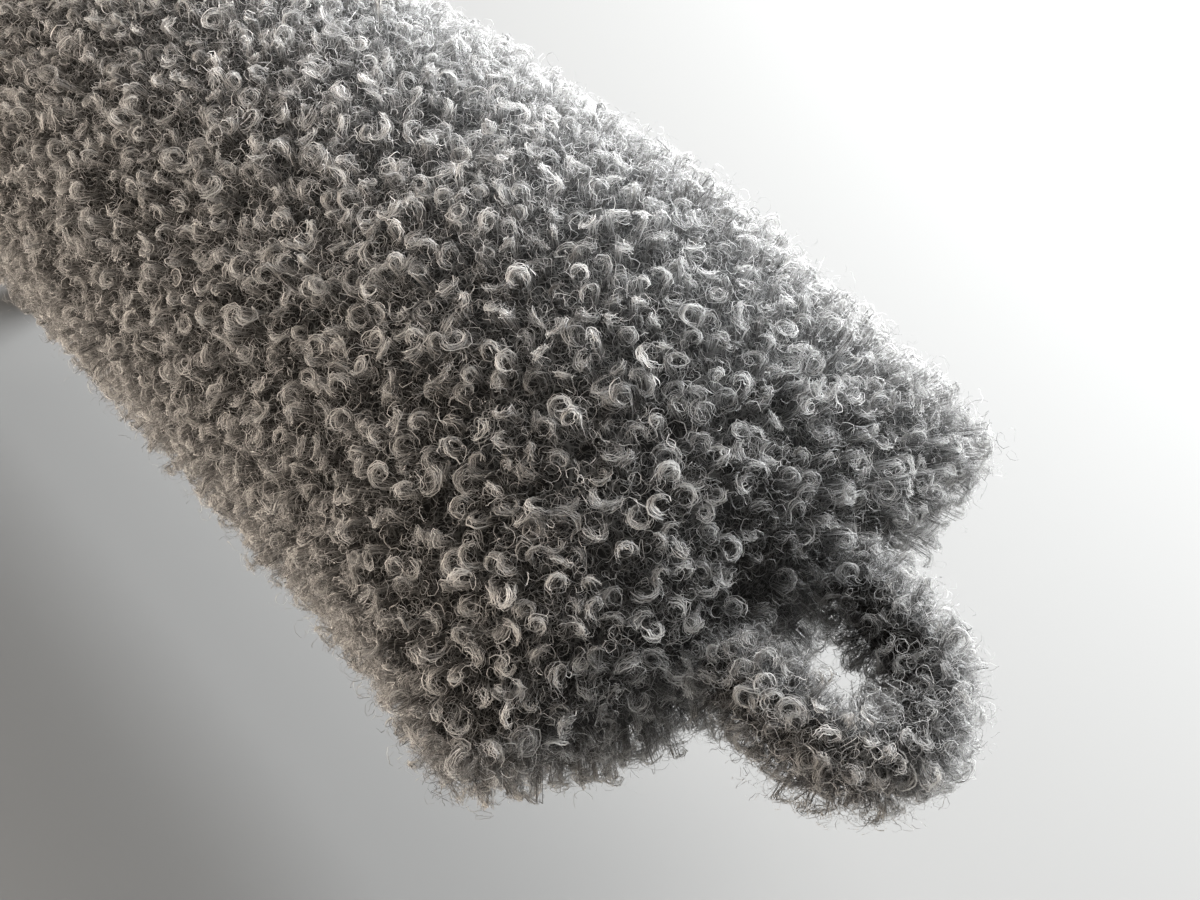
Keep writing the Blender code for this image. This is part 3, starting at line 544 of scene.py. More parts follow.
def underfur_shade_material():
    """Dark, with thin curly lighter lines: the level lines of three smooth noise fields. Its darkness is
    painted shade for the depths between the locks.
    """
    material, tree, shader = new_material("underfur", 0.9)
    where = add_node(tree, "ShaderNodeTexCoord").outputs["Object"]
    lines = None
    for number, (scale, thin) in enumerate(((330.0, 0.040), (430.0, 0.035), (560.0, 0.045))):
        place = add_node(tree, "ShaderNodeMapping", {"Vector": where})
        place.inputs["Location"].default_value = (number * 0.7, number * 0.3, -number * 0.5)
        off = calc(tree, "SUBTRACT", noise(tree, place.outputs["Vector"], scale, 0.0), 0.5)
        line = span(tree, calc(tree, "ABSOLUTE", off), 0.0, thin, 1.0, 0.0)
        lines = line if lines is None else calc(tree, "MAXIMUM", lines, line)
    patchy = calc(tree, "MULTIPLY", lines, noise(tree, where, 240.0))
    # painted shade: the undercoat's near-black colours stand for the shadow between the locks
    ramp = add_node(tree, "ShaderNodeValToRGB", {"Fac": patchy})
    ramp.color_ramp.elements[0].color = (0.006, 0.006, 0.006, 1)
    ramp.color_ramp.elements[1].position = 0.65
    ramp.color_ramp.elements[1].color = (0.13, 0.13, 0.125, 1)
    tree.links.new(ramp.outputs["Color"], shader.inputs["Base Color"])
    return material


def underfur(material):
    """The dense short undercoat that closes the view between the locks, as a dark sheet whose colour is
    painted shade.
    """
    backs = np.concatenate([[0.0], EAR_LENGTH * np.linspace(0.03, 1, 40) ** 1.5,
                            np.linspace(EAR_LENGTH, COVER_LENGTH, 60)[1:]])
    turns = full_turn(120)
    grid = cover_point(backs[None, :], turns[:, None], UNDERFUR_INSET)
    rim = grid[:, -1:].copy()
    shrink = BACKING_RADIUS / (FUR_RADIUS - UNDERFUR_INSET * PILE)
    rim[..., 1:] = (0, AXIS_Z) + (rim[..., 1:] - (0, AXIS_Z)) * shrink
    grid = np.concatenate([grid, rim], 1)
    piece = grid_mesh("fur_undercoat", grid, True, material, "cover")
    bm = bmesh.new()
    bm.from_mesh(piece.data)
    bm.verts.ensure_lookup_table()
    rim = [e for e in bm.edges if e.is_boundary and max(v.co.x for v in e.verts) > SEAM_X - 0.03]
    bmesh.ops.triangle_fill(bm, edges=rim, use_beauty=True)
    bm.to_mesh(piece.data)
    bm.free()
    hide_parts("fur_upper_panel", "fur_lower_panel")


def loop_line(samples=240):
    """The loop's centre line in the plane it lies in, before it droops, by even arc length."""
    t = np.linspace(-math.pi / 2, math.pi / 2, samples)
    x = LOOP_REACH * np.clip(np.cos(t), 0, 1) ** 0.75 - LOOP_HALF_HEIGHT
    y = LOOP_HALF_SPAN * np.sin(t) * (1 + LOOP_SWELL * np.cos(t) ** 2)
    length = np.concatenate([[0], np.cumsum(np.hypot(np.diff(x), np.diff(y)))])
    return x, y, length


def loop_point(along, turn, inset=0.0):
    """A point on the loop's outline. along: metres along it. turn: round its section. inset: depth."""
    x, y, length = loop_line()
    step = length[-1] / 400
    at = np.clip(along, 0, length[-1])
    cx, cy = np.interp(at, length, x), np.interp(at, length, y)
    dx = np.interp(at + step, length, x) - np.interp(at - step, length, x)
    dy = np.interp(at + step, length, y) - np.interp(at - step, length, y)
    size = np.hypot(dx, dy)
    dx, dy = dx / size, dy / size
    from_end = np.minimum(at, length[-1] - at)
    root = np.clip(LOOP_HALF_HEIGHT - from_end, 0, LOOP_HALF_HEIGHT * 0.97)
    height = np.sqrt(LOOP_HALF_HEIGHT**2 - root**2) * (1 - inset / LOOP_HALF_HEIGHT)
    thick = LOOP_HALF_THICKNESS - inset
    px = cx + dy * thick * np.cos(turn)
    py = cy - dx * thick * np.cos(turn)
    pz = height * np.sin(turn)
    cos, sin = math.cos(LOOP_DROOP), math.sin(LOOP_DROOP)
    out = np.stack([px * cos + pz * sin, py, -px * sin + pz * cos], -1)
    return out + LOOP_HINGE


def furry_loop(fibre, under):
    """The pull loop: a strap covered with the same curled fur."""
    rng = np.random.default_rng(31)
    length = loop_line()[2][-1]
    along = rng.uniform(0.001, length - 0.001, LOOP_TRIES)
    turn = rng.uniform(0, 2 * math.pi, LOOP_TRIES)
    outer = loop_point(along, turn)
    keep = thinned(outer, LOOP_SPACING, 32)
    along, turn, outer = along[keep], turn[keep], outer[keep]
    inner = loop_point(along, turn, LOOP_PILE)
    from_root = np.minimum(along, length - along)
    # painted shade: the loop's locks on its inner side near both roots are painted darker, for the shadow
    # where the loop meets the seam
    inward = np.clip(-np.cos(turn) + 0.35, 0, 1)
    depth = 1 - 0.80 * inward * (1 - smooth_step((from_root - 0.008) / 0.020))
    half = along < length / 2
    for number, rows in enumerate((np.flatnonzero(half), np.flatnonzero(~half))):
        name = f"loop_locks_{number + 1}"
        grow(name, inner[rows], outer[rows], 300 + number, fibre, "loop", True, depth[rows])
    spans, turns = np.linspace(0, length, 61), full_turn(32)
    grid = loop_point(spans[None, :], turns[:, None], LOOP_PILE * LOOP_STRAP_INSET)
    # the strap's core wears the undercoat's painted shade
    core = grid_mesh("loop_strap", grid, True, under, "loop")
    close_ends(core)
    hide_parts("pull_loop")


def close_ends(piece):
    bm = bmesh.new()
    bm.from_mesh(piece.data)
    bmesh.ops.holes_fill(bm, edges=[e for e in bm.edges if e.is_boundary])
    bmesh.ops.recalc_face_normals(bm, faces=bm.faces)
    bm.to_mesh(piece.data)
    bm.free()


# ---------------------------------------------------------------- finishes of the hard parts and the fabric


def noise(tree, where, scale, detail=2.0, stretch=None):
    if stretch:
        where = add_node(tree, "ShaderNodeMapping", {"Vector": where, "Scale": stretch}).outputs["Vector"]
    inputs = {"Vector": where, "Scale": scale, "Detail": detail}
    return add_node(tree, "ShaderNodeTexNoise", inputs).outputs["Fac"]


def calc(tree, operation, a, b=0.0):
    return add_node(tree, "ShaderNodeMath", {0: a, 1: b}, operation=operation).outputs[0]


def span(tree, value, low, high, to_low=0.0, to_high=1.0):
    inputs = {"Value": value, "From Min": low, "From Max": high, "To Min": to_low, "To Max": to_high}
    return add_node(tree, "ShaderNodeMapRange", inputs).outputs[0]


def mix(tree, factor, a, b):
    node = add_node(tree, "ShaderNodeMix", data_type="RGBA")
    for socket, value in ((node.inputs[0], factor), (node.inputs[6], a), (node.inputs[7], b)):
        if isinstance(value, bpy.types.NodeSocket):
            tree.links.new(value, socket)
        else:
            socket.default_value = value if isinstance(value, float) else (*value, 1.0)
    return node.outputs[2]


def worn_edges(tree, where, radius):
    """1 along outer edges, broken up by noise, and 0 on flat faces."""
    soft = add_node(tree, "ShaderNodeBevel", {"Radius": radius}, samples=4)
    flat = add_node(tree, "ShaderNodeNewGeometry")
    turn = add_node(tree, "ShaderNodeVectorMath", {0: soft.outputs[0], 1: flat.outputs["Normal"]},
                    operation="DOT_PRODUCT").outputs["Value"]
    broken = span(tree, noise(tree, where, 420.0, 3.0), 0.35, 0.65)
    return calc(tree, "MULTIPLY", span(tree, turn, 0.995, 0.93), broken)


def emboss(tree, shader, height, distance, strength=1.0):
    bump = add_node(tree, "ShaderNodeBump", {"Height": height, "Distance": distance, "Strength": strength})
    tree.links.new(bump.outputs[0], shader.inputs["Normal"])


def hard_finish(name, dark, light, worn, roughness, metallic, grain, depth, stretch=None):
    """Moulded or machined: blotches of two tones, a fine grain, and lighter worn edges."""
    material, tree, shader = new_material(name, roughness, metallic=metallic)
    where = add_node(tree, "ShaderNodeTexCoord").outputs["Object"]
    blotch = span(tree, noise(tree, where, 70.0, 5.0), 0.3, 0.7)
    fine = noise(tree, where, grain, 3.0, stretch)
    tone = mix(tree, blotch, dark, light)
    tone = mix(tree, worn_edges(tree, where, 0.0007), tone, worn)
    tree.links.new(tone, shader.inputs["Base Color"])
    uneven = calc(tree, "ADD", calc(tree, "MULTIPLY", fine, 0.6), calc(tree, "MULTIPLY", blotch, 0.4))
    gloss = span(tree, uneven, 0.25, 0.75, roughness - 0.08, roughness + 0.12)
    tree.links.new(gloss, shader.inputs["Roughness"])
    emboss(tree, shader, fine, depth)
    return material


def around_axis(tree):
    """Object coordinates, distance along the windscreen, angle round its axis, and offsets across it."""
    where = add_node(tree, "ShaderNodeTexCoord").outputs["Object"]
    parts = add_node(tree, "ShaderNodeSeparateXYZ", {0: where})
    up = calc(tree, "SUBTRACT", parts.outputs[2], float(AXIS_Z))
    return where, parts.outputs[0], calc(tree, "ARCTAN2", up, parts.outputs[1]), parts.outputs[1], up


def woven_finish(name, dark, light, pitch, radius, depth):
    """A plain weave wrapped round the windscreen: threads along it and round it pass over each other, with
    painted shade where the weave is low and painted highlight where it is high.
    """
    material, tree, shader = new_material(name, 0.85)
    where, x, turn, aside, up = around_axis(tree)
    squares = [calc(tree, "MULTIPLY", offset, offset) for offset in (aside, up)]
    out = calc(tree, "SQRT", calc(tree, "ADD", *squares))
    run = calc(tree, "ADD", x, out)
    warp = calc(tree, "SINE", calc(tree, "MULTIPLY", run, 2 * math.pi / pitch))
    weft = calc(tree, "SINE", calc(tree, "MULTIPLY", turn, float(round(2 * math.pi * radius / pitch))))
    over = calc(tree, "MULTIPLY", warp, weft)
    height = span(tree, over, -1.0, 1.0)
    fuzz = noise(tree, where, 2600.0, 2.0)
    height = calc(tree, "ADD", height, calc(tree, "MULTIPLY", fuzz, 0.35))
    # painted shade and highlight: tone follows the weave's bump, dark where it is low and light where it is
    # high
    tone = mix(tree, span(tree, height, 0.2, 1.1), dark, light)
    patch = span(tree, noise(tree, where, 90.0, 3.0), 0.3, 0.7, 0.0, 0.35)
    tree.links.new(mix(tree, patch, tone, dark), shader.inputs["Base Color"])
    emboss(tree, shader, height, depth)
    return material


def knitted_mesh_finish():
    """The lining's open knit: a honeycomb of dark pinholes between pale ridges of yarn. The pinholes are
    painted shade on a surface without holes, and the yarn is painted darker the lower it lies.
    """
    material, tree, shader = new_material("knitted_lining", 0.9)
    where, x, turn, _, _ = around_axis(tree)
    arc = calc(tree, "MULTIPLY", turn, 0.05)
    flat = add_node(tree, "ShaderNodeCombineXYZ", {0: x, 1: arc}).outputs[0]
    cells = add_node(tree, "ShaderNodeTexVoronoi", {"Vector": flat, "Scale": 620.0, "Randomness": 0.25})
    ridge = span(tree, cells.outputs["Distance"], 0.22, 0.55)
    fuzz = noise(tree, where, 3000.0, 2.0)
    height = calc(tree, "ADD", ridge, calc(tree, "MULTIPLY", fuzz, 0.3))
    # painted shade: tone follows height, dark in the pinholes and low yarn, light on the ridges
    tone = mix(tree, span(tree, height, 0.1, 1.2), (0.008, 0.008, 0.009), (0.075, 0.075, 0.078))
    tree.links.new(tone, shader.inputs["Base Color"])
    emboss(tree, shader, height, 0.0003)
    return material


def thread_finish():
    """Stitching thread: fine twisted lines across its run, with painted shade in the grooves of the twist."""
    material, tree, shader = new_material("stitch_thread", 0.6)
    _, x, turn, _, _ = around_axis(tree)
    slant = calc(tree, "ADD", calc(tree, "MULTIPLY", x, 9000.0), calc(tree, "MULTIPLY", turn, 900.0))
    twist = span(tree, calc(tree, "SINE", slant), -1.0, 1.0)
    # painted shade: tone follows the twist's bump, dark in its grooves and light on its ridges
    tree.links.new(mix(tree, twist, (0.05, 0.05, 0.05), (0.20, 0.20, 0.19)), shader.inputs["Base Color"])
    emboss(tree, shader, twist, 0.0001)
    return material


def finishes():
    """One material for each of the model's material slots, apart from the fur."""
    plastic = dict(metallic=0.0, grain=1500.0, depth=0.00006)
    brushed = dict(metallic=1.0, grain=900.0, depth=0.00002)
    return {
        "cage_plastic": hard_finish("cage_moulding", (0.017, 0.017, 0.018), (0.030, 0.030, 0.032),
                                    (0.085, 0.085, 0.088), 0.46, **plastic),
        "base_plastic": hard_finish("base_moulding", (0.014, 0.014, 0.015), (0.024, 0.024, 0.026),
                                    (0.075, 0.075, 0.078), 0.52, **plastic),
        "lyre_plastic": hard_finish("lyre_moulding", (0.050, 0.052, 0.055), (0.075, 0.077, 0.080),
                                    (0.14, 0.14, 0.145), 0.38, **plastic),
        "rubber": hard_finish("soft_rubber", (0.010, 0.010, 0.010), (0.020, 0.020, 0.020),
                              (0.040, 0.040, 0.040), 0.74, 0.0, 2200.0, 0.00005),
        "anodised": hard_finish("anodised_alloy", (0.055, 0.056, 0.060), (0.085, 0.086, 0.091),
                                (0.36, 0.36, 0.37), 0.36, stretch=(0.12, 1.0, 1.0), **brushed),
        "steel": hard_finish("plated_steel", (0.46, 0.46, 0.45), (0.62, 0.62, 0.61),
                             (0.80, 0.80, 0.79), 0.27, stretch=(1.0, 1.0, 0.2), **brushed),
        "brass": hard_finish("turned_brass", (0.56, 0.40, 0.16), (0.72, 0.54, 0.25),
                             (0.86, 0.70, 0.40), 0.28, stretch=(1.0, 1.0, 0.1), **brushed),
        "webbing": woven_finish("hem_webbing", (0.012, 0.012, 0.013), (0.085, 0.085, 0.088),
                                0.0011, 0.056, 0.0003),
        "lining": knitted_mesh_finish(),
    }


# ---------------------------------------------------------------- hard parts, refined from the frame

EDGE_ROUNDING = {
    "base_ring": 0.0007, "back_cover": 0.0004, "cage_collar": 0.0004, "cage_nose_boss": 0.0006,
    "cage_seal_ring": 0.0003, "suspension_rail": 0.0003, "tilt_knuckle": 0.0006, "swivel_fork": 0.0005,
    "tilt_knob": 0.0007, "stand_socket": 0.0003, "thread_insert": 0.0003, "clamp_nut": 0.0003,
    "clamp_bolt": 0.0003,
}
EDGE_ROUNDING.update({f"{place}_{part}": size for place in ("rear", "front")
                      for part, size in (("mount_carriage", 0.0005), ("mic_clip", 0.0003))})


def stand_in(name, mesh, node, material):
    """Puts a refined mesh in the place of a CAD node, on the same body, with the material given."""
    mesh.materials.clear()
    mesh.materials.append(material)
    piece = placed(name, mesh)
    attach(piece, frame["nodes"][node]["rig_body"])
    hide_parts(node)
    return piece


def softened(node, width, material):
    """A CAD node's shape with its edges rounded, as moulding and machining leave them."""
    bm = bmesh.new()
    bm.from_mesh(frame["nodes"][node].data)
    bmesh.ops.remove_doubles(bm, verts=bm.verts, dist=2e-6)
    bmesh.ops.dissolve_limit(bm, angle_limit=math.radians(1.0), verts=bm.verts, edges=bm.edges)
    mesh = bpy.data.meshes.new(f"{node}_finished")
    bm.to_mesh(mesh)
    bm.free()
    if "custom_normal" in mesh.attributes:
        mesh.attributes.remove(mesh.attributes["custom_normal"])
    mesh.shade_smooth()
    piece = stand_in(f"{node}_finished", mesh, node, material)
    edge = piece.modifiers.new("rounding", "BEVEL")
    edge.width = width
    edge.segments = 3
    edge.limit_method = "ANGLE"
    edge.angle_limit = math.radians(32)
    edge.use_clamp_overlap = True
    edge.harden_normals = True


def around(centre, axis, rings):
    """Grid of points round an axis of the frame from rings of (radii by turn, height), each one turn long."""
    rows = []
    for radii, height in rings:
        turn = full_turn(len(radii))
        flat = [radii * np.cos(turn), radii * np.sin(turn)]
        flat.insert(axis, np.broadcast_to(height, turn.shape))
        rows.append(np.stack(flat, -1))
    return np.stack(rows, 1) + centre


def whole_mesh(name, grid, joined=False):
    """A closed mesh from a grid of points round an axis: its ends are joined to each other or filled in."""
    turns, rows, _ = grid.shape
    bm = bmesh.new()
    verts = [[bm.verts.new(grid[i, j]) for j in range(rows)] for i in range(turns)]
    for i in range(turns):
        k = (i + 1) % turns
        for j in range(rows if joined else rows - 1):
            m = (j + 1) % rows
            bm.faces.new((verts[i][j], verts[k][j], verts[k][m], verts[i][m]))
    if not joined:
        bmesh.ops.holes_fill(bm, edges=[e for e in bm.edges if e.is_boundary])
    bmesh.ops.recalc_face_normals(bm, faces=bm.faces)
    mesh = bpy.data.meshes.new(name)
    bm.to_mesh(mesh)
    bm.free()
    mesh.shade_smooth()
    mesh.set_sharp_from_angle(angle=math.radians(38))
    return mesh


RIB_WALL, RIB_WIDTH, RIB_COUNT = 0.0018, 0.0030, 10
CAGE_RADIUS, DOME_X, TIP_X = 0.0480, 0.308, 0.3630
BOSS_EDGE = 0.0143
SECTION_SIDES = 20
HOOP_COUNT, HOOP_INNER, HOOP_SIDES = 5, 0.0437, 180


def squared(wave):
    """A sine or cosine with fuller shoulders, which turns a circle into a rounded rectangle."""
    return np.sign(wave) * np.abs(wave) ** 0.5


def swept(name, line, side, wall, width):
    """A strip with rounded edges along a flat curve. side is the direction in which it is width wide."""
    ahead = unit(np.gradient(line, axis=0))
    up = np.cross(ahead, side)
    turn = full_turn(SECTION_SIDES)
    across = squared(np.cos(turn))[:, None, None] * side * width / 2
    return whole_mesh(name, line[None] + across + squared(np.sin(turn))[:, None, None] * up[None] * wall / 2)


def refined_ribs(material):
    low_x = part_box("cage_rib_1")[0][0]
    end = math.acos(BOSS_EDGE / CAGE_RADIUS)
    bend = np.linspace(0, end, 40)
    x = np.concatenate([np.linspace(low_x, DOME_X, 30)[:-1], DOME_X + (TIP_X - DOME_X) * np.sin(bend)])
    radius = np.concatenate([np.full(29, CAGE_RADIUS), CAGE_RADIUS * np.cos(bend)])
    slope = unit(np.stack([np.gradient(x), np.gradient(radius)], -1))
    x, radius = x + slope[:, 1] * RIB_WALL / 2, radius - slope[:, 0] * RIB_WALL / 2
    for number in range(RIB_COUNT):
        turn = 2 * math.pi * (number + 0.5) / RIB_COUNT
        out = np.array((0, math.cos(turn), math.sin(turn)))
        side = np.array((0, -math.sin(turn), math.cos(turn)))
        line = x[:, None] * np.array((1, 0, 0)) + radius[:, None] * out + np.array((0, 0, AXIS_Z))
        node = f"cage_rib_{number + 1}"
        stand_in(f"{node}_finished", swept(node, line, side, RIB_WALL, RIB_WIDTH), node, material)


def refined_hoop(node, material):
    """A ring about the windscreen's axis with rounded edges."""
    low, high = (np.array(corner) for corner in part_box(node))
    outer, middle, half = high[1], (low[0] + high[0]) / 2, (high[0] - low[0]) / 2
    radius, wall = (HOOP_INNER + outer) / 2, (outer - HOOP_INNER) / 2
    turn = full_turn(SECTION_SIDES)
    circle = np.ones(HOOP_SIDES)
    rings = [(circle * (radius + wall * out), middle + half * along)
             for out, along in zip(squared(np.cos(turn)), squared(np.sin(turn)))]
    grid = around(np.array((0, 0, AXIS_Z)), 0, rings)
    stand_in(f"{node}_finished", whole_mesh(node, grid, True), node, material)


def smooth_line(points, steps):
    """A smooth curve through points, straight where they are in line."""
    points = np.array(points)
    padded = np.concatenate([[2 * points[0] - points[1]], points, [2 * points[-1] - points[-2]]])
    t = np.linspace(0, 1, steps, endpoint=False)[:, None]
    line = []
    for a, b, c, d in zip(padded, padded[1:], padded[2:], padded[3:]):
        pull = (2 * b + (c - a) * t + (2 * a - 5 * b + 4 * c - d) * t**2 + (3 * b - a - 3 * c + d) * t**3) / 2
        line.append(pull)
    return np.concatenate(line + [points[-1:]])


LYRE_LOW = -0.0261
LYRE_THICKNESS = 0.0026
LYRE_FOOT = ((0.0, LYRE_LOW), (0.0030, LYRE_LOW), (0.0060, LYRE_LOW), (0.0090, LYRE_LOW))
LYRE_SWEEP = ((0.0100, LYRE_LOW + 0.0150), 0.0150, -math.pi / 2 + 0.2, -0.1)
LYRE_TOP = ((0.0190, 0.0042), 0.0050, 0.0, math.pi * 0.97)
LYRE_END = (0.0138, -0.0030)


def refined_lyre(place, material):
    """The mount's sprung W: a strip that runs out, up and over, and back down to the clip, both ways."""
    node = f"{place}_lyre"
    low, high = (np.array(corner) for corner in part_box(node))
    half = list(LYRE_FOOT)
    for (y, z), radius, start, end in (LYRE_SWEEP, LYRE_TOP):
        half += [(y + radius * math.cos(t), z + radius * math.sin(t)) for t in np.linspace(start, end, 7)]
    half.append(LYRE_END)
    line = smooth_line([(-y, z) for y, z in reversed(half[1:])] + half, 6)
    middle = (low[0] + high[0]) / 2
    line = np.stack([np.full(len(line), middle), line[:, 0], line[:, 1] + AXIS_Z], -1)
    mesh = swept(node, line, np.array((1.0, 0, 0)), LYRE_THICKNESS, high[0] - low[0])
    stand_in(f"{node}_finished", mesh, node, material)


SCREW_SIDES = 24
HEAD_HEIGHT = 0.0018
THREAD_PITCH = 0.0005
THREAD_DEPTH = 0.14


def refined_screw(node, material):
    """A pan head with a hexagon socket, and a threaded shank."""
    low, high = (np.array(corner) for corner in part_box(node))
    points = np.array([v.co for v in frame["nodes"][node].data.vertices])
    axis = int(np.argmax(high - low))
    across = [i for i in range(3) if i != axis]
    centre = (low + high) / 2
    radial = np.hypot(*(points[:, i] - centre[i] for i in across))
    from_low = points[:, axis] - low[axis]
    length = high[axis] - low[axis]
    low_end, high_end = radial[from_low < 0.0003].max(), radial[from_low > length - 0.0003].max()
    start, way = (low[axis], 1) if low_end > high_end else (high[axis], -1)
    head, shank = radial.max(), min(low_end, high_end)
    turn = full_turn(SCREW_SIDES)
    hexagon = head * 0.46 * math.cos(math.pi / 6) / np.cos((turn + math.pi / 6) % (math.pi / 3) - math.pi / 6)
    circle = np.ones(SCREW_SIDES)
    rings = [(hexagon, 0.0011), (hexagon, 0.0001), (hexagon * 1.06, 0.0)]
    for share, depth in ((0.62, 0.0), (0.78, 0.00012), (0.90, 0.0005), (0.97, 0.0010), (1.0, 0.0015),
                         (0.985, HEAD_HEIGHT - 0.00008), (0.95, HEAD_HEIGHT)):
        rings.append((circle * head * share, depth))
    for depth in np.arange(HEAD_HEIGHT, length - 0.0008, THREAD_PITCH / 4):
        phase = (depth / THREAD_PITCH + turn / (2 * math.pi)) % 1
        rings.append((shank * (1 - THREAD_DEPTH * np.abs(2 * phase - 1)), depth))
    rings.append((circle * shank * (1 - THREAD_DEPTH), length - 0.0006))
    rings.append((circle * shank * 0.70, length))
    centre[axis] = 0.0
    grid = around(centre, axis, [(radii, start + way * depth) for radii, depth in rings])
    stand_in(f"{node}_finished", whole_mesh(node, grid), node, material)


def refined_grommet(material):
    """The cable's rubber bush with stepped relief rings on its outer end."""
    low, high = (np.array(corner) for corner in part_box("cable_grommet"))
    centre = (low + high) / 2
    centre[0] = 0.0
    # radius and depth from the outer end, in millimetres
    steps = ((3.5, 0.2), (3.9, 0.0), (5.6, 0.0), (6.0, 0.3), (6.0, 0.8), (5.3, 1.1), (5.4, 1.5), (6.9, 1.7),
             (7.0, 2.3), (6.2, 2.6), (6.4, 3.0), (8.2, 3.3), (8.5, 4.0), (9.0, 4.4), (9.0, 5.5), (8.8, 5.7),
             (6.0, 5.7), (6.0, 10.0), (8.3, 10.0), (8.5, 10.2), (8.5, 11.7), (8.3, 11.9), (3.9, 11.9),
             (3.5, 11.7))
    circle = np.ones(64)
    rings = [(circle * radius / 1000, low[0] + depth / 1000) for radius, depth in steps]
    mesh = whole_mesh("cable_grommet", around(centre, 0, rings), True)
    stand_in("cable_grommet_finished", mesh, "cable_grommet", material)


HEM_SIDES = 360
HEM_PUCKERS = 58
HEM_INNER = 0.0503
REAR_STITCH_RADIUS = 0.0532
STITCH_PITCH, STITCH_LENGTH, STITCH_THICKNESS = 0.0034, 0.0025, 0.00021
STITCH_SIDES = 6
# radius, lean off the way back, place ahead of the rear edge, and reach of each row of locks over the hem
RIM_ROWS = ((0.0592, 0.30, 0.0008, 0.0080), (0.0622, 0.75, 0.0016, 0.0088), (0.0630, 1.15, 0.0040, 0.0096))


def stitch_row(centres, along, out, length, thick):
    """Verts and faces of one row of stitches: short threads, each arched over the cloth at its middle."""
    verts, faces = [], []
    t = np.linspace(-1, 1, STITCH_SIDES + 1)
    side_turns = full_turn(STITCH_SIDES)
    for centre, ahead, up in zip(centres, along, out):
        across = np.cross(ahead, up)
        start = len(verts)
        for k in t:
            middle = centre + ahead * k * length / 2 + up * thick * (0.9 - 1.5 * k**4)
            for turn in side_turns:
                spoke = across * math.cos(turn) + up * math.sin(turn)
                verts.append(middle + spoke * thick * (1 - 0.3 * k**2))
        for i in range(STITCH_SIDES):
            a, b = start + i * STITCH_SIDES, start + (i + 1) * STITCH_SIDES
            for j in range(STITCH_SIDES):
                m = (j + 1) % STITCH_SIDES
                faces.append((a + j, a + m, b + m, b + j))
        faces.append(tuple(range(start + STITCH_SIDES - 1, start - 1, -1)))
        faces.append(tuple(range(len(verts) - STITCH_SIDES, len(verts))))
    return verts, faces


def hem(material, thread):
    """The folded webbing round the rear opening, puckered where it is sewn, and its two rows of thread."""
    low, high = (np.array(corner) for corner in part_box("hem_binding"))
    rear, front, outer = low[0], high[0], high[1]
    turn = full_turn(HEM_SIDES)
    pucker = np.sin(turn * HEM_PUCKERS) + 0.5 * np.sin(turn * HEM_PUCKERS * 0.5 + 1.0)
    # the section's outline: shares of the way out from the inner radius, and of the way back from the rear
    path = ((0.0, 0.05), (0.0, 0.95), (0.12, 1.0), (0.85, 1.0), (0.97, 0.93), (1.0, 0.78), (1.0, 0.30),
            (0.93, 0.10), (0.80, 0.0), (0.50, 0.015), (0.12, 0.0))
    rings = []
    for out_share, back_share in path:
        radius = HEM_INNER + (outer - HEM_INNER) * out_share - 0.00012 * out_share * (1 + pucker)
        puckered = 0.00010 * (1 + pucker) * (back_share < 0.2)
        rings.append((radius, front + (rear - front) * (1 - back_share) + puckered))
    grid = around(np.array((0, 0, AXIS_Z)), 0, rings)
    stand_in("hem_binding_finished", whole_mesh("hem_binding", grid, True), "hem_binding", material)
    verts, faces = [], []
    for radius, x, faces_back in ((outer - 0.00010, (rear + front) / 2 + 0.0004, False),
                                  (REAR_STITCH_RADIUS, rear + 0.00012, True)):
        count = int(2 * math.pi * radius / STITCH_PITCH)
        spots = 2 * math.pi * np.arange(count) / count
        outward = np.stack([np.zeros(count), np.cos(spots), np.sin(spots)], -1)
        ahead = np.stack([np.zeros(count), -np.sin(spots), np.cos(spots)], -1)
        centres = outward * radius + np.array((x, 0, AXIS_Z))
        up = np.broadcast_to((-1.0, 0.0, 0.0), outward.shape) if faces_back else outward
        row, row_faces = stitch_row(centres, ahead, up, STITCH_LENGTH, STITCH_THICKNESS)
        faces += [tuple(i + len(verts) for i in face) for face in row_faces]
        verts += row
    mesh = bpy.data.meshes.new("hem_stitching")
    mesh.from_pydata([tuple(v) for v in verts], [], faces)
    bm = bmesh.new()
    bm.from_mesh(mesh)
    bmesh.ops.recalc_face_normals(bm, faces=bm.faces)
    bm.to_mesh(mesh)
    bm.free()
    mesh.shade_smooth()
    mesh.materials.append(thread)
    piece = placed("hem_stitching", mesh)
    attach(piece, "cover")


def rim_locks(material):
    """Locks round the cover's rear edge, in three rows that lean further back over the hem."""
    for row, (radius, lean, ahead, reach) in enumerate(RIM_ROWS):
        rng = np.random.default_rng(51 + row)
        count = int(2 * math.pi * (radius + 0.004) / LOCK_SPACING)
        turn = 2 * math.pi * (np.arange(count) + rng.uniform(-0.35, 0.35, count)) / count
        out = np.stack([np.zeros(count), np.cos(turn), np.sin(turn)], -1)
        root = out * (radius - 0.0015) + np.array((REAR_X + ahead, 0, AXIS_Z))
        way = out * math.sin(lean) + np.array((-math.cos(lean), 0, 0))
        grow(f"fur_rim_locks_{row + 1}", root, root + way * reach, 60 + row, material, "cover", True)


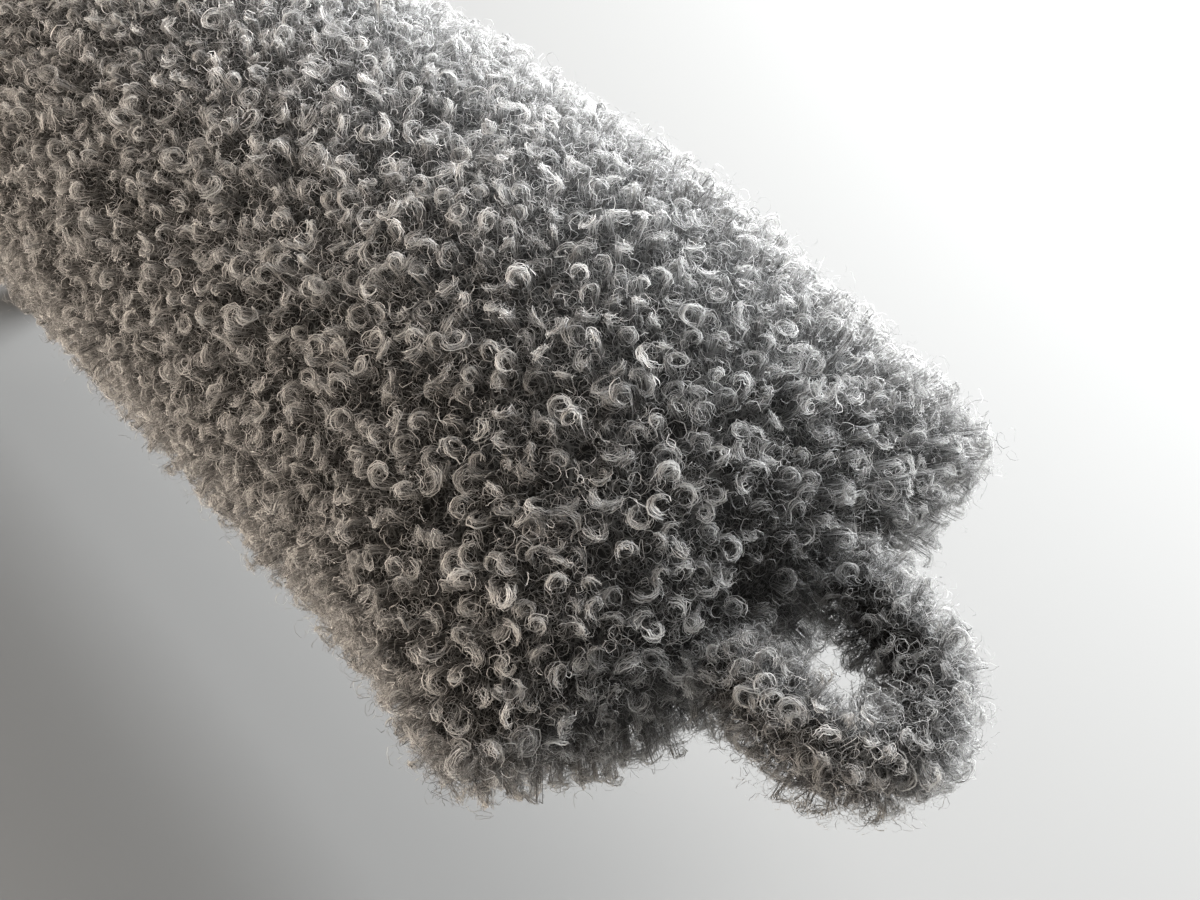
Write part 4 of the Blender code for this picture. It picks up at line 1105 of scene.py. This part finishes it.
def hard_parts():
    finish = finishes()
    for node, width in EDGE_ROUNDING.items():
        softened(node, width, finish[frame["nodes"][node].data.materials[0].name])
    for node in frame["nodes"]:
        if "screw" in node:
            refined_screw(node, finish["steel"])
    refined_grommet(finish["rubber"])
    refined_ribs(finish["cage_plastic"])
    for number in range(HOOP_COUNT):
        refined_hoop(f"cage_hoop_{number + 1}", finish["cage_plastic"])
    for place in ("rear", "front"):
        refined_lyre(place, finish["lyre_plastic"])
    hem(finish["webbing"], thread_finish())
    lining = frame["nodes"]["cover_lining"]
    lining.data.materials[0] = finish["lining"]


# ---------------------------------------------------------------- assembly

FLOOR_REACH, FLOOR_GAP = 30, 0.001
# the locks that the camera sees and that stand ahead of this x have fine fibres
COARSE_BEHIND_X = 0.07
FINE_PIECES, COARSE_PIECES = 15, 8

add_camera()
add_light()

floor_mesh = bpy.data.meshes.new("floor")
floor_corners = [(x * FLOOR_REACH, y * FLOOR_REACH, 0) for x, y in ((-1, -1), (1, -1), (1, 1), (-1, 1))]
floor_mesh.from_pydata(floor_corners, [], [(0, 1, 2, 3)])
floor = placed("floor", floor_mesh)
floor.location.z = -FLOOR_GAP
floor_finish, _, _ = new_material("floor", 0.8, (0.306, 0.299, 0.288))
floor_mesh.materials.append(floor_finish)

fibre = fibre_material()
inner, outer = cover_roots()
middle = (inner + outer) / 2
seen = (outer - inner) @ np.array(toward(CAMERA_AZIMUTH, CAMERA_ELEVATION)) > -0.2 * PILE
fine_side = seen & (middle[:, 0] > COARSE_BEHIND_X)
# painted shade: cover locks round the loop's roots at the end seam are painted darker, down to 0.40, for the
# shadow in that crease
reach_to_loop = np.hypot(middle[:, 0] - LOOP_HINGE[0] + 0.012, middle[:, 1] * 0.75)
loop_crease_shade = 0.40 + 0.60 * smooth_step((reach_to_loop - 0.006) / 0.014)
for fine, where, pieces in ((True, fine_side, FINE_PIECES), (False, ~fine_side, COARSE_PIECES)):
    chosen = np.flatnonzero(where)
    chosen = chosen[np.argsort(middle[chosen, 0])]
    for number, rows in enumerate(np.array_split(chosen, pieces)):
        name = f"fur_{'front' if fine else 'rear'}_locks_{number + 1}"
        grow(name, inner[rows], outer[rows], 100 * fine + number, fibre, "cover", fine, loop_crease_shade[rows])
under = underfur_shade_material()
underfur(under)
furry_loop(fibre, under)
rim_locks(fibre)
hard_parts()
